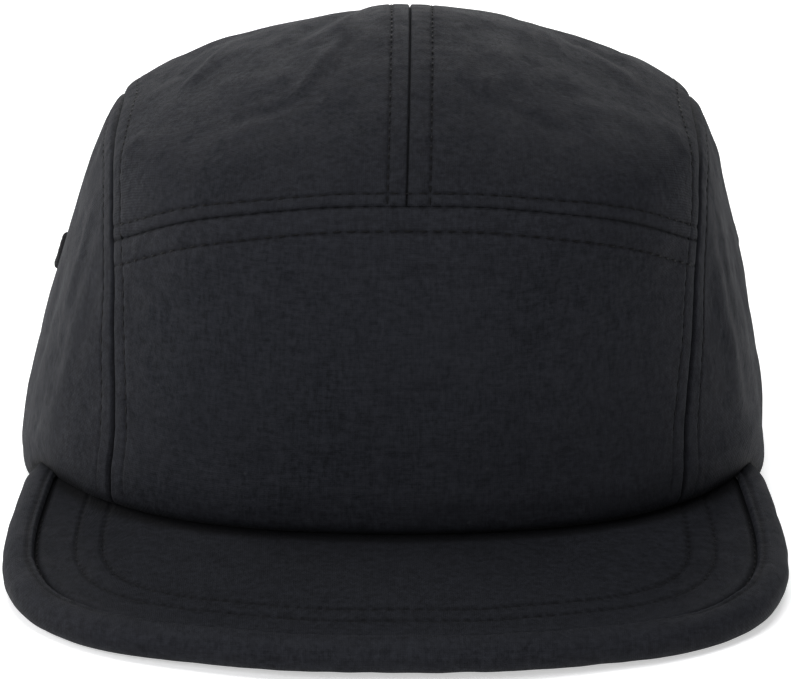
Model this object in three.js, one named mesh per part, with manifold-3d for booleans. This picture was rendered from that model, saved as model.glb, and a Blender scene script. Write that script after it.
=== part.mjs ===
// Five-panel camp cap resting on a flat surface.
// Millimetres, +Z up, the peak points towards -Y, left is -X (the viewer's left from the front).
import * as THREE from 'three';
import { mergeVertices } from 'three/addons/utils/BufferGeometryUtils.js';
import Module from 'manifold-3d';

const wasm = await Module();
wasm.setup();

// Cloth and gaps
const WALL = 1.6;                 // doubled nylon of the crown
const SEAM_GAP = 0.32;            // clear space between two panels at a seam
const SEAM_DIP = 0.7;             // a seam is drawn in this much
const SEAM_SPREAD = 2.6;          // half width of that hollow

// Crown
const LEAN = 0.034;               // the crown leans to +X as it rises
const LEAN_LEVEL = 22;            // height that stays put under the lean
const OPENING_HALF = 31;          // arched gap at the back, half its width at the rim
const OPENING_HEIGHT = 38;

// Peak
const ROOT_REACH = 86.5;          // root of the peak in front of the crown's middle
const PEAK_DROP = Math.tan(THREE.MathUtils.degToRad(4.1));   // it dips towards its tip
const PEAK_ARCH = 800;            // radius of the slight arch across it
const BOARD = 3.2;                // covered board
const TONGUE = 2.2;               // its edge inside the binding
const BINDING_WIDTH = 6.7;
const BINDING_SLOT = 5;           // slot for the tongue starts this far in
const BINDING_TOP = 3;            // the puffy edge over the board's middle level
const BINDING_UNDER = 4.4;        // and below it
const PEAK_GAP = 0.3;
const CROWN_SEAT = 0.35;          // crown edge over the board
const BINDING_SEAT = 1.8;         // crown edge over the thicker binding at the sides

// Rim: on the peak in front, on the table behind
const SEAT_FROM = 51, SEAT_TO = 57.5;     // degrees, board to binding
const LIFT_END = 70.5, REST_FROM = 93;    // degrees, leaves the peak, meets the table

// Horizontal sections of the crown: x = halfWidth sin, y = -front cos or back cos
const sections = [
  { height: 0, halfWidth: 82.2, front: 84.5, back: 98.5, square: 0.045 },
  { height: 7, halfWidth: 84, front: 86.5, back: 101.5, square: 0.045 },
  { height: 22, halfWidth: 82.6, front: 86.5, back: 102.5, square: 0.045 },
  { height: 42, halfWidth: 78.4, front: 85.5, back: 101, square: 0.05 },
  { height: 60, halfWidth: 73.6, front: 83.5, back: 93.5, square: 0.055 },
  { height: 74, halfWidth: 69.4, front: 81, back: 80, square: 0.06 },
  { height: 83, halfWidth: 65, front: 76.5, back: 66, square: 0.055 },
  { height: 89.5, halfWidth: 53.8, front: 68.5, back: 52.5, square: 0.04 },
  { height: 95.5, halfWidth: 39.2, front: 55.5, back: 38.5, square: 0.025 },
  { height: 101.2, halfWidth: 23.6, front: 36.5, back: 25, square: 0.01 },
  { height: 104.8, halfWidth: 9.5, front: 16, back: 11, square: 0 },
  { height: 105.8, halfWidth: 0, front: 0, back: 0, square: 0 },
];

// Seam between the side panel and the others, front rim to back rim; the right one sits a bit further round
const sideSeam = [
  { angle: 44, height: 0, right: 0 },
  { angle: 47.5, height: 30, right: 1.1 },
  { angle: 52.4, height: 50, right: 1.4 },
  { angle: 58.6, height: 66, right: 1.3 },
  { angle: 68.5, height: 78, right: 0.8 },
  { angle: 82, height: 82.5, right: 0 },
  { angle: 98, height: 83.2, right: 0 },
  { angle: 115, height: 79, right: 0 },
  { angle: 130, height: 69, right: 0 },
  { angle: 141, height: 55, right: 0 },
  { angle: 148, height: 38, right: 0 },
  { angle: 152, height: 17, right: 0 },
  { angle: 153.5, height: 0, right: 0 },
];
const ARCH_END = 3;               // row of sideSeam where the arched seam meets it

// Arched seam over the front panel, middle to side seam
const archSeam = [
  { angle: 0, height: 83.4, right: 0 },
  { angle: 20, height: 82.1, right: 0.4 },
  { angle: 40, height: 76.6, right: 0.9 },
  { angle: 58.6, height: 66, right: 1.3 },
];

// Outline of the peak, middle to side; reach is measured forward of its root
const peakOutline = [
  { x: 0, reach: 61 },
  { x: 20, reach: 60 },
  { x: 40, reach: 54.8 },
  { x: 58, reach: 47.4 },
  { x: 71, reach: 37.4 },
  { x: 80, reach: 24.2 },
  { x: 84.5, reach: 8.5 },
  { x: 85.4, reach: -5 },
  { x: 85, reach: -18 },
  { x: 82.8, reach: -38 },
  { x: 80.4, reach: -49 },
  { x: 76.5, reach: -58 },
];
const BOARD_ROWS = 9.5;          // the board ends beside this row of the outline, under the crown's edge
const BOARD_ANGLE = 60.5;         // and at this angle round the crown

// Soft creases: from one place to another, drawn out (+) or pressed in (-)
const creases = [
  { angle: -112, height: 101, toAngle: -62, toHeight: 95, width: 5, depth: 1.0 },
  { angle: -170, height: 99, toAngle: -72, toHeight: 99, width: 5, depth: -1.0 },
  { angle: 69, height: 102, toAngle: 48, toHeight: 97, width: 5, depth: 0.8 },
  { angle: 104, height: 95, toAngle: 80, toHeight: 89, width: 6, depth: 0.9 },
  { angle: 118, height: 97, toAngle: 96, toHeight: 90, width: 6, depth: -0.9 },
  { angle: -64, height: 66, toAngle: -62, toHeight: 24, width: 6, depth: 0.8 },
  { angle: 66, height: 66, toAngle: 64, toHeight: 24, width: 6, depth: 0.8 },
  { angle: -78, height: 60, toAngle: -84, toHeight: 14, width: 8, depth: -1.0 },
  { angle: 80, height: 56, toAngle: 86, toHeight: 14, width: 8, depth: -1.0 },
  { angle: 162, height: 72, toAngle: 144, toHeight: 56, width: 11, depth: -1.0 },
  { angle: -165, height: 68, toAngle: -146, toHeight: 52, width: 11, depth: -1.0 },
];

// Inside band and strap
const BAND_OFFSET = 3.1;          // its outer face in from the crown's outer face
const BAND = 1.2;
const BAND_RISE = 0.4, BAND_HEIGHT = 29;
const BAND_END = 157;             // degrees
const BAND_PAST = 3.2;            // further in at the back, past the strap's ends
const STRAP_OFFSET = 3;
const STRAP = 1.3, STRAP_LOW = 4.5, STRAP_WIDE = 20;
const STRAP_END = 144;            // degrees, the ends are sewn inside the wall
const SLIDER_BAR = 4, SLIDER_SLOT = 6.5, SLIDER_RAIL = 2.8, SLIDER_THICK = 2.4;
const SLIDER_PLAY = 0.5;          // slot taller than the strap at each edge

// Eyelets
const EYELET_LEFT = 96, EYELET_RIGHT = 105;   // degrees; the cloth is drawn a little round the head
const EYELET_LEVEL = 47.2;
const EYELET_HOLE = 1.9, EYELET_NECK = 2.6, EYELET_RIM = 4.3, PUNCHED = 2.95;

const DEG = Math.PI / 180;
const TOP_ROW = sections.length - 1;
const mix = (a, b, f) => a + (b - a) * f;
const ease = (f) => f * f * (3 - 2 * f);
const clamp = (v, a, b) => Math.min(b, Math.max(a, v));

// Value of one column at a fractional row, smooth through every row
function smooth(before, a, b, after, f) {
  return 0.5 * (2 * a + (b - before) * f + (2 * before - 5 * a + 4 * b - after) * f * f
    + (3 * a - before - 3 * b + after) * f * f * f);
}

// Tables that run from the middle outwards; the other half mirrors them
const halves = new Set([archSeam, peakOutline]);

function rowAt(table, u, afterLast) {
  const last = table.length - 1;
  const i = Math.min(last - 1, Math.floor(clamp(u, 0, last)));
  const f = clamp(u, 0, last) - i;
  const result = {};
  const across = halves.has(table) ? Object.keys(table[0])[0] : null;
  for (const key of Object.keys(table[0])) {
    const a = table[i][key], b = table[i + 1][key];
    const first = across === null ? 2 * a - b : key === across ? -b : b;
    const before = i > 0 ? table[i - 1][key] : first;
    const after = i < last - 1 ? table[i + 2][key] : afterLast ? afterLast[key] : 2 * b - a;
    result[key] = smooth(before, a, b, after, f);
  }
  return result;
}

// The sections run on over the top and down the far side
const beyond = { ...sections[TOP_ROW - 1] };
for (const key of ['halfWidth', 'front', 'back']) beyond[key] *= -1;

const levels = [];
for (let i = 0; i <= 600; i++) levels.push(rowAt(sections, TOP_ROW * i / 600, beyond).height);

function rowOfHeight(height) {
  let low = 0, high = 600;
  if (height <= levels[0]) return 0;
  while (high - low > 1) {
    const mid = (low + high) >> 1;
    if (levels[mid] <= height) low = mid; else high = mid;
  }
  const f = (height - levels[low]) / (levels[high] - levels[low]);
  return TOP_ROW * (low + clamp(f, 0, 1)) / 600;
}

function crown(angle, row) {
  const s = rowAt(sections, row, beyond);
  const fat = 1 + s.square * Math.sin(2 * angle) ** 2;
  const reach = Math.cos(angle) > 0 ? s.front : s.back;
  return new THREE.Vector3(s.halfWidth * fat * Math.sin(angle) + LEAN * (s.height - LEAN_LEVEL),
    -reach * fat * Math.cos(angle), s.height);
}

// Peak: its lowest corners touch the table
const peakShape = (x, y) => (y + ROOT_REACH) * PEAK_DROP - x * x / (2 * PEAK_ARCH);

function outlineAt(along, inset) {
  const side = along < 0 ? -1 : 1;
  const at = (u) => {
    const r = rowAt(peakOutline, Math.abs(u), null);
    return new THREE.Vector2((u < 0 ? -1 : 1) * r.x, -ROOT_REACH - r.reach);
  };
  const p = at(along);
  if (along === 0) return new THREE.Vector2(0, p.y + inset);
  const ahead = at(side * (Math.abs(along) + 0.01)), behind = at(side * (Math.abs(along) - 0.01));
  const t = ahead.sub(behind).normalize().multiplyScalar(side);
  return new THREE.Vector2(p.x - t.y * inset, p.y + t.x * inset);
}

// Section of the puffy edge: how far in from the outline, and how far up from the board's middle
const SLOT_HALF = TONGUE / 2 + PEAK_GAP;
const bindingSection = [
  { inset: BINDING_WIDTH, up: SLOT_HALF },
  { inset: BINDING_WIDTH, up: 2.1 },
  { inset: 5.9, up: 2.8 },
  { inset: 4.2, up: BINDING_TOP },
  { inset: 2.2, up: 2.6 },
  { inset: 0.8, up: 1.6 },
  { inset: 0.15, up: 0.5 },
  { inset: 0, up: -0.6 },
  { inset: 0.2, up: -1.8 },
  { inset: 0.9, up: -3 },
  { inset: 2.3, up: -4 },
  { inset: 4.3, up: -BINDING_UNDER },
  { inset: 6.2, up: -3.8 },
  { inset: BINDING_WIDTH, up: -2.6 },
  { inset: BINDING_WIDTH, up: -SLOT_HALF },
  { inset: BINDING_SLOT, up: -SLOT_HALF },
  { inset: BINDING_SLOT, up: SLOT_HALF },
];

const OUTLINE_END = peakOutline.length - 1;
let lowest = 0;
for (let i = 0; i <= 200; i++) {
  for (const { inset, up } of bindingSection) {
    const p = outlineAt(mix(0.001, OUTLINE_END, i / 200), inset);
    lowest = Math.min(lowest, peakShape(p.x, p.y) + up);
  }
}
const ROOT_LEVEL = BOARD / 2 - lowest;
const peakTop = (x, y) => ROOT_LEVEL + peakShape(x, y);

// Height of the crown's lower edge
function rimHeight(angle) {
  const a = Math.abs(angle) / DEG;
  const base = crown(Math.sign(angle || 1) * Math.min(a, LIFT_END) * DEG, rowOfHeight(8));
  const seat = mix(CROWN_SEAT, BINDING_SEAT, ease(clamp((a - SEAT_FROM) / (SEAT_TO - SEAT_FROM), 0, 1)));
  const lift = 1 - ease(clamp((a - LIFT_END) / (REST_FROM - LIFT_END), 0, 1));
  return (peakTop(base.x, base.y) + seat) * lift;
}

// The crown is drawn on a disc: the rim is the circle of radius 1, the top its middle
const rimRows = [];
for (let i = 0; i <= 720; i++) rimRows.push(rowOfHeight(rimHeight((i / 2 - 180) * DEG)));

function rimRow(angle) {
  const f = clamp((angle / DEG + 180) * 2, 0, 719.999);
  return mix(rimRows[Math.floor(f)], rimRows[Math.floor(f) + 1], f % 1);
}

function toDisc(degrees, height) {
  const angle = degrees * DEG;
  const r = Math.min(1, (TOP_ROW - rowOfHeight(height)) / (TOP_ROW - rimRow(angle)));
  return new THREE.Vector2(r * Math.sin(angle), -r * Math.cos(angle));
}

function onCrown(p) {
  const angle = Math.atan2(p.x, -p.y);
  return crown(angle, TOP_ROW - Math.min(1.02, p.length()) * (TOP_ROW - rimRow(angle)));
}

function crownNormal(p) {
  const e = 0.004;
  const q = p.clone().multiplyScalar(Math.min(1, (1 - 2 * e) / Math.max(p.length(), 1e-9)));
  const dx = onCrown(new THREE.Vector2(q.x + e, q.y)).sub(onCrown(new THREE.Vector2(q.x - e, q.y)));
  const dy = onCrown(new THREE.Vector2(q.x, q.y + e)).sub(onCrown(new THREE.Vector2(q.x, q.y - e)));
  return dx.cross(dy).normalize();
}

// Points of a line on the disc, spaced by the given fractions of its true length
function spaced(line, fractions) {
  const reach = [0];
  const at = line.map(onCrown);
  for (let i = 1; i < line.length; i++) reach.push(reach[i - 1] + at[i].distanceTo(at[i - 1]));
  return fractions.map((f) => {
    const want = f * reach[reach.length - 1];
    let i = 1;
    while (i < line.length - 1 && reach[i] < want) i++;
    const g = (want - reach[i - 1]) / Math.max(1e-9, reach[i] - reach[i - 1]);
    return line[i - 1].clone().lerp(line[i], clamp(g, 0, 1));
  });
}

// Even fractions with one narrow step at the chosen ends
function steps(count, narrowStart, narrowEnd) {
  const inner = count - (narrowStart ? 1 : 0) - (narrowEnd ? 1 : 0);
  const list = [];
  for (let i = 0; i <= inner; i++) {
    list.push(mix(narrowStart ? 0.4 / count : 0, narrowEnd ? 1 - 0.4 / count : 1, i / inner));
  }
  if (narrowStart) list.unshift(0);
  if (narrowEnd) list.push(1);
  return list;
}

function seamLine(table, side, from, to) {
  const line = [];
  for (let i = 0; i <= 80; i++) {
    const r = rowAt(table, mix(from, to, i / 80), null);
    line.push(toDisc(side < 0 ? -r.angle : r.angle + r.right, Math.max(r.height, 0)));
  }
  if (from === 0 && table === sideSeam) line[0].normalize();
  if (to === sideSeam.length - 1) line[80].normalize();
  return line;
}

function rimLine(fromDegrees, toDegrees) {
  const line = [];
  for (let i = 0; i <= 60; i++) {
    const a = mix(fromDegrees, toDegrees, i / 60) * DEG;
    line.push(new THREE.Vector2(Math.sin(a), -Math.cos(a)));
  }
  return line;
}

const OPENING_ANGLE = Math.asin(OPENING_HALF / sections[1].back) / DEG;

function openingLine(side) {
  const line = [];
  for (let i = 0; i <= 60; i++) {
    const t = i / 60 * Math.PI / 2;
    line.push(toDisc(side * (180 - OPENING_ANGLE * Math.sin(t)), OPENING_HEIGHT * Math.cos(t)));
  }
  line[60].normalize();
  return line;
}

const LOWER = 12, OVER = 26, ARCH = 12, SIDE_TOP = 14;
const seams = {};
for (const side of [-1, 1]) {
  seams[side] = {
    lower: spaced(seamLine(sideSeam, side, 0, ARCH_END), steps(LOWER, false, true)),
    over: spaced(seamLine(sideSeam, side, ARCH_END, sideSeam.length - 1), steps(OVER, true, false)),
    arch: spaced(seamLine(archSeam, side, 0, archSeam.length - 1), steps(ARCH, true, true)),
    opening: [
      ...spaced(openingLine(side), steps(ARCH - 2, true, false)),
      ...spaced(rimLine(side * (180 - OPENING_ANGLE), side * 153.5), [0.5, 1]),
    ],
  };
}
const centre = spaced([toDisc(0, archSeam[0].height), new THREE.Vector2(0, 0),
  toDisc(180, OPENING_HEIGHT)].flatMap((p, i, all) => {
  if (i === 0) return [p];
  const part = [];
  for (let k = 1; k <= 40; k++) part.push(all[i - 1].clone().lerp(p, k / 40));
  return part;
}), steps(OVER, true, false));

// Every seam as points in space, to draw the cloth in along it
const seamPoints = [];
for (const side of [-1, 1]) {
  for (const table of [sideSeam, archSeam]) {
    seamPoints.push(...spaced(seamLine(table, side, 0, table.length - 1), steps(90)).map(onCrown));
  }
}
seamPoints.push(...spaced(centre, steps(90)).map(onCrown));

const creaseLines = creases.map((c) => {
  const a = toDisc(c.angle, c.height), b = toDisc(c.toAngle, c.toHeight);
  const points = [];
  for (let i = 0; i <= 10; i++) points.push({ at: onCrown(a.clone().lerp(b, i / 10)), f: i / 10 });
  return { ...c, points };
});

function relief(point) {
  let near = Infinity;
  for (const s of seamPoints) near = Math.min(near, s.distanceToSquared(point));
  let rise = -SEAM_DIP * Math.exp(-near / SEAM_SPREAD ** 2);
  for (const c of creaseLines) {
    let best = Infinity, f = 0;
    for (const s of c.points) {
      const d = s.at.distanceToSquared(point);
      if (d < best) { best = d; f = s.f; }
    }
    rise += c.depth * Math.exp(-best / c.width ** 2) * Math.sin(Math.PI * mix(0.15, 0.85, f));
  }
  return rise;
}

// Geometry from a list of points and faces
function solid(points, faces) {
  const g = new THREE.BufferGeometry();
  g.setAttribute('position', new THREE.Float32BufferAttribute(points.flatMap((p) => [p.x, p.y, p.z]), 3));
  g.setIndex(faces);
  return g;
}

// Closed sheet between an outer and an inner grid of points, rows then columns
function sheet(outer, inner) {
  const rows = outer.length, cols = outer[0].length;
  const points = [...outer.flat(), ...inner.flat()];
  const half = rows * cols;
  const faces = [];
  const quad = (a, b, c, d) => faces.push(a, b, c, a, c, d);
  const id = (i, j) => i * cols + j;
  for (let i = 0; i < rows - 1; i++) {
    for (let j = 0; j < cols - 1; j++) {
      const a = id(i, j), b = id(i, j + 1), c = id(i + 1, j + 1), d = id(i + 1, j);
      quad(a, b, c, d);
      quad(a + half, d + half, c + half, b + half);
    }
  }
  const edge = [];
  for (let j = 0; j < cols - 1; j++) edge.push(id(0, j));
  for (let i = 0; i < rows - 1; i++) edge.push(id(i, cols - 1));
  for (let j = cols - 1; j > 0; j--) edge.push(id(rows - 1, j));
  for (let i = rows - 1; i > 0; i--) edge.push(id(i, 0));
  edge.forEach((a, k) => {
    const b = edge[(k + 1) % edge.length];
    quad(a, a + half, b + half, b);
  });
  return facingOut(solid(points, faces));
}

// Turns every face round if the body came out inside out
function facingOut(g) {
  const p = g.getAttribute('position'), ix = g.getIndex().array;
  const v = [0, 1, 2].map(() => new THREE.Vector3());
  let volume = 0;
  for (let i = 0; i < ix.length; i += 3) {
    v.forEach((one, k) => one.fromBufferAttribute(p, ix[i + k]));
    volume += v[0].dot(v[1].clone().cross(v[2])) / 6;
  }
  if (volume < 0) for (let i = 0; i < ix.length; i += 3) [ix[i], ix[i + 1]] = [ix[i + 1], ix[i]];
  return g;
}

// A cloth panel filling four lines on the disc; its edges stand back from the seams
function panel(bottom, top, left, right, seamEdges) {
  const rows = left.length, cols = bottom.length;
  const grid = [];
  for (let i = 0; i < rows; i++) {
    grid.push([]);
    for (let j = 0; j < cols; j++) {
      const s = j / (cols - 1), t = i / (rows - 1);
      const p = new THREE.Vector2();
      p.addScaledVector(bottom[j], 1 - t).addScaledVector(top[j], t);
      p.addScaledVector(left[i], 1 - s).addScaledVector(right[i], s);
      p.addScaledVector(bottom[0], -(1 - s) * (1 - t)).addScaledVector(bottom[cols - 1], -s * (1 - t));
      p.addScaledVector(top[0], -(1 - s) * t).addScaledVector(top[cols - 1], -s * t);
      grid[i].push(p);
    }
  }
  const base = grid.map((row) => row.map(onCrown));
  const normal = grid.map((row) => row.map(crownNormal));
  const moved = base.map((row) => row.map((p) => p.clone()));
  const at = (i, j) => base[clamp(i, 0, rows - 1)][clamp(j, 0, cols - 1)];
  for (let i = 0; i < rows; i++) {
    for (let j = 0; j < cols; j++) {
      const pulls = [];
      const pull = (along, inward) => {
        const d = along.cross(normal[i][j]).normalize();
        pulls.push(d.dot(inward) < 0 ? d.negate() : d);
      };
      const alongRow = () => at(i, j + 1).clone().sub(at(i, j - 1));
      const alongCol = () => at(i + 1, j).clone().sub(at(i - 1, j));
      if (i === 0 && seamEdges.bottom) pull(alongRow(), at(1, j).clone().sub(at(0, j)));
      if (i === rows - 1 && seamEdges.top) pull(alongRow(), at(i - 1, j).clone().sub(at(i, j)));
      if (j === 0 && seamEdges.left) pull(alongCol(), at(i, 1).clone().sub(at(i, 0)));
      if (j === cols - 1 && seamEdges.right) pull(alongCol(), at(i, j - 1).clone().sub(at(i, j)));
      if (pulls.length === 1) moved[i][j].addScaledVector(pulls[0], SEAM_GAP / 2);
      if (pulls.length === 2) {
        const sum = pulls[0].clone().add(pulls[1]);
        moved[i][j].addScaledVector(sum, SEAM_GAP / 2 / (1 + Math.max(0, pulls[0].dot(pulls[1]))));
      }
    }
  }
  const rise = base.map((row) => row.map(relief));
  const level = (p, i, j) => {
    // the lower edge stays at its height, so that it rests evenly
    if (grid[i][j].length() > 0.9999) p.z = base[i][j].z;
    return p;
  };
  const outer = moved.map((row, i) => row.map((p, j) => level(
    p.clone().addScaledVector(normal[i][j], rise[i][j]), i, j)));
  const inner = moved.map((row, i) => row.map((p, j) => level(
    p.clone().addScaledVector(normal[i][j], rise[i][j] - WALL), i, j)));
  return sheet(outer, inner);
}

function mirrored(list) { return [...list].reverse(); }

const frontArch = [...mirrored(seams[-1].arch), ...seams[1].arch.slice(1)];
const frontRim = spaced(rimLine(-sideSeam[0].angle, sideSeam[0].angle),
  [...steps(ARCH, true, true).map((f) => 0.5 - f / 2).reverse(),
    ...steps(ARCH, true, true).slice(1).map((f) => 0.5 + f / 2)]);
const frontPanel = panel(frontRim, frontArch, seams[-1].lower, seams[1].lower,
  { top: true, left: true, right: true });

function topPanel(side) {
  const s = seams[side];
  return panel(s.arch, s.opening, centre, s.over, { bottom: true, left: true, right: true });
}

function sidePanel(side) {
  const s = seams[side];
  const rim = spaced(rimLine(side * sideSeam[0].angle, side * 153.5), steps(SIDE_TOP, true, false));
  return panel(rim, s.over.slice(0, SIDE_TOP + 1), s.lower,
    mirrored(s.over.slice(SIDE_TOP)), { top: true, left: true, right: true });
}

// Joining and cutting closed bodies
function toManifold(geometry) {
  const g = geometry.clone();
  g.deleteAttribute('normal');
  g.deleteAttribute('uv');
  const m = mergeVertices(g, 1e-5);
  return new wasm.Manifold(new wasm.Mesh({
    numProp: 3,
    vertProperties: new Float32Array(m.getAttribute('position').array),
    triVerts: new Uint32Array(m.getIndex().array),
  }));
}

function fromManifold(body) {
  const mesh = body.getMesh();
  const g = new THREE.BufferGeometry();
  const points = [];
  for (let i = 0; i < mesh.numVert; i++) {
    for (let k = 0; k < 3; k++) points.push(mesh.vertProperties[i * mesh.numProp + k]);
  }
  g.setAttribute('position', new THREE.Float32BufferAttribute(points, 3));
  g.setIndex([...mesh.triVerts]);
  return g;
}

// Eyelet: a ring with a neck through the cloth and a rounded collar outside
function eyeletPlace(side) {
  const p = toDisc(side < 0 ? -EYELET_LEFT : EYELET_RIGHT, EYELET_LEVEL);
  const normal = crownNormal(p);
  const place = new THREE.Matrix4().makeRotationFromQuaternion(
    new THREE.Quaternion().setFromUnitVectors(new THREE.Vector3(0, 1, 0), normal));
  const origin = onCrown(p);
  return place.setPosition(origin.addScaledVector(normal, relief(origin)));
}

function eyelet(side) {
  const profile = [[EYELET_HOLE, -WALL], [EYELET_NECK, -WALL], [EYELET_NECK, 0.35], [EYELET_RIM, 0.35],
    [EYELET_RIM, 0.5], [3.9, 0.8], [3.1, 0.95], [2.3, 0.75], [EYELET_HOLE, 0.4], [EYELET_HOLE, -WALL]];
  const g = new THREE.LatheGeometry(profile.map(([x, y]) => new THREE.Vector2(x, y)), 20);
  g.applyMatrix4(eyeletPlace(side));
  return facingOut(fromManifold(toManifold(g)));
}

function punched(side) {
  const punch = new THREE.CylinderGeometry(PUNCHED, PUNCHED, 12, 20);
  punch.applyMatrix4(eyeletPlace(side));
  return fromManifold(toManifold(sidePanel(side)).subtract(toManifold(punch)));
}

// Peak board: a grid from the crown's inner face out to the tongue
function board() {
  const along = 40;
  const outer = [], inner = [];
  for (let i = 0; i <= along; i++) {
    const f = mix(-1, 1, i / along);
    const far = f * (BOARD_ROWS - 0.15);
    const angle = BOARD_ANGLE * f * DEG;
    const root = crown(angle, rowOfHeight(rimHeight(angle))).addScaledVector(
      new THREE.Vector3(-Math.sin(angle), Math.cos(angle), 0), WALL);
    const near = new THREE.Vector2(root.x, root.y);
    const shoulder = outlineAt(far, BINDING_WIDTH + PEAK_GAP);
    const tip = outlineAt(far, BINDING_SLOT + PEAK_GAP);
    const top = [], low = [];
    const put = (p, thick) => {
      const mid = peakTop(p.x, p.y) - BOARD / 2;
      top.push(new THREE.Vector3(p.x, p.y, mid + thick / 2));
      low.push(new THREE.Vector3(p.x, p.y, mid - thick / 2));
    };
    for (let k = 0; k <= 4; k++) put(near.clone().lerp(shoulder, k / 4), BOARD);
    put(shoulder, TONGUE);
    put(tip, TONGUE);
    outer.push(top);
    inner.push(low);
  }
  return sheet(outer, inner);
}

// Binding: its section carried round the outline
function binding() {
  const stations = 52, n = bindingSection.length;
  const points = [], faces = [];
  for (let i = 0; i <= stations; i++) {
    const along = mix(-OUTLINE_END, OUTLINE_END, i / stations);
    for (const { inset, up } of bindingSection) {
      const p = outlineAt(along, inset);
      points.push(new THREE.Vector3(p.x, p.y, peakTop(p.x, p.y) - BOARD / 2 + up));
    }
  }
  for (let i = 0; i < stations; i++) {
    for (let k = 0; k < n; k++) {
      const a = i * n + k, b = i * n + (k + 1) % n;
      faces.push(a, b, b + n, a, b + n, a + n);
    }
  }
  const face = bindingSection.map(({ inset, up }) => new THREE.Vector2(inset, up));
  const caps = THREE.ShapeUtils.triangulateShape(face, []);
  for (const [a, b, c] of caps) {
    faces.push(a, c, b);
    faces.push(a + stations * n, b + stations * n, c + stations * n);
  }
  return fitted(solid(points, faces));
}

// Caps and sides may disagree on the way round, so the body is checked both ways
function fitted(g) {
  const body = toManifold(facingOut(g));
  if (body.isEmpty()) throw new Error('open body');
  return fromManifold(body);
}

// Point inside the crown: on its outer face at a height, moved in level by an offset
function inside(degrees, height, offset) {
  const angle = degrees * DEG, e = 0.01;
  const row = rowOfHeight(height);
  const t = crown(angle + e, row).sub(crown(angle - e, row));
  const out = new THREE.Vector3(t.y, -t.x, 0).normalize();
  return crown(angle, row).addScaledVector(out, -offset);
}

function sweatband() {
  const outer = [], inner = [];
  for (let k = 0; k <= 4; k++) {
    outer.push([]);
    inner.push([]);
    for (let i = 0; i <= 60; i++) {
      const a = mix(-BAND_END, BAND_END, i / 60);
      const z = rimHeight(a * DEG) + BAND_RISE + BAND_HEIGHT * k / 4;
      // it stands further in where the strap's ends are sewn
      const past = ease(clamp((Math.abs(a) - STRAP_END + 14) / 10, 0, 1)) * BAND_PAST;
      outer[k].push(inside(a, z, BAND_OFFSET + past));
      inner[k].push(inside(a, z, BAND_OFFSET + past + BAND));
    }
  }
  return sheet(outer, inner);
}

// Strap: its middle line in plan, woven over the slider's middle bar
const STRAP_MID = STRAP_LOW + STRAP_WIDE / 2;
const sliderAt = inside(180, STRAP_LOW, STRAP_OFFSET + STRAP / 2 + SLIDER_THICK / 2 + 0.35 - 1.2);
const WEAVE = SLIDER_THICK / 2 + 0.35 + STRAP / 2;

function strap() {
  const line = [];
  for (const side of [-1, 1]) {
    const half = [];
    for (let a = STRAP_END; a < 170; a += 3.2) half.push(inside(side * a, STRAP_LOW, STRAP_OFFSET + STRAP / 2));
    for (const [x, y] of [[SLIDER_BAR * 1.5 + SLIDER_SLOT + 0.6, -WEAVE],
      [SLIDER_BAR / 2 + SLIDER_SLOT - 0.4, -WEAVE], [SLIDER_BAR / 2 + 0.4, WEAVE]]) {
      half.push(new THREE.Vector3(sliderAt.x + side * x, sliderAt.y + y, STRAP_MID));
    }
    if (side < 0) line.push(...half); else line.push(...half.reverse());
  }
  const outer = [[], []], inner = [[], []];
  line.forEach((p, i) => {
    const before = line[Math.max(0, i - 1)], after = line[Math.min(line.length - 1, i + 1)];
    const d1 = p.clone().sub(before).setZ(0), d2 = after.clone().sub(p).setZ(0);
    const n1 = new THREE.Vector3(-d1.y, d1.x, 0).normalize(), n2 = new THREE.Vector3(-d2.y, d2.x, 0).normalize();
    const n = d1.length() < 1e-6 ? n2 : d2.length() < 1e-6 ? n1 : n1.clone().add(n2).divideScalar(1 + n1.dot(n2));
    [STRAP_LOW, STRAP_LOW + STRAP_WIDE].forEach((z, k) => {
      outer[k].push(p.clone().addScaledVector(n, STRAP / 2).setZ(z));
      inner[k].push(p.clone().addScaledVector(n, -STRAP / 2).setZ(z));
    });
  });
  return sheet(outer, inner);
}

function slider() {
  const w = SLIDER_BAR * 1.5 + SLIDER_SLOT, hole = STRAP_WIDE / 2 + SLIDER_PLAY, h = hole + SLIDER_RAIL;
  const rounded = (path, x, y, a, b, r) => {
    path.moveTo(x - a + r, y - b);
    path.lineTo(x + a - r, y - b);
    path.quadraticCurveTo(x + a, y - b, x + a, y - b + r);
    path.lineTo(x + a, y + b - r);
    path.quadraticCurveTo(x + a, y + b, x + a - r, y + b);
    path.lineTo(x - a + r, y + b);
    path.quadraticCurveTo(x - a, y + b, x - a, y + b - r);
    path.lineTo(x - a, y - b + r);
    path.quadraticCurveTo(x - a, y - b, x - a + r, y - b);
    return path;
  };
  const shape = rounded(new THREE.Shape(), 0, 0, w, h, 2.4);
  for (const side of [-1, 1]) {
    const x = side * (SLIDER_BAR + SLIDER_SLOT) / 2;
    shape.holes.push(rounded(new THREE.Path(), x, 0, SLIDER_SLOT / 2, hole, 0.6));
  }
  const g = new THREE.ExtrudeGeometry(shape, { depth: SLIDER_THICK, bevelEnabled: false, curveSegments: 3 });
  g.translate(0, 0, -SLIDER_THICK / 2).rotateX(Math.PI / 2).translate(sliderAt.x, sliderAt.y, STRAP_MID);
  return facingOut(fromManifold(toManifold(g)));
}

const cloth = { color: 0x26272c, roughness: 0.85, metalness: 0 };
const band = { color: 0x1d1e21, roughness: 0.9, metalness: 0 };
const webbing = { color: 0x222327, roughness: 0.8, metalness: 0 };
const plastic = { color: 0x18191b, roughness: 0.45, metalness: 0 };
const thread = { color: 0x141518, roughness: 0.7, metalness: 0 };

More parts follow.
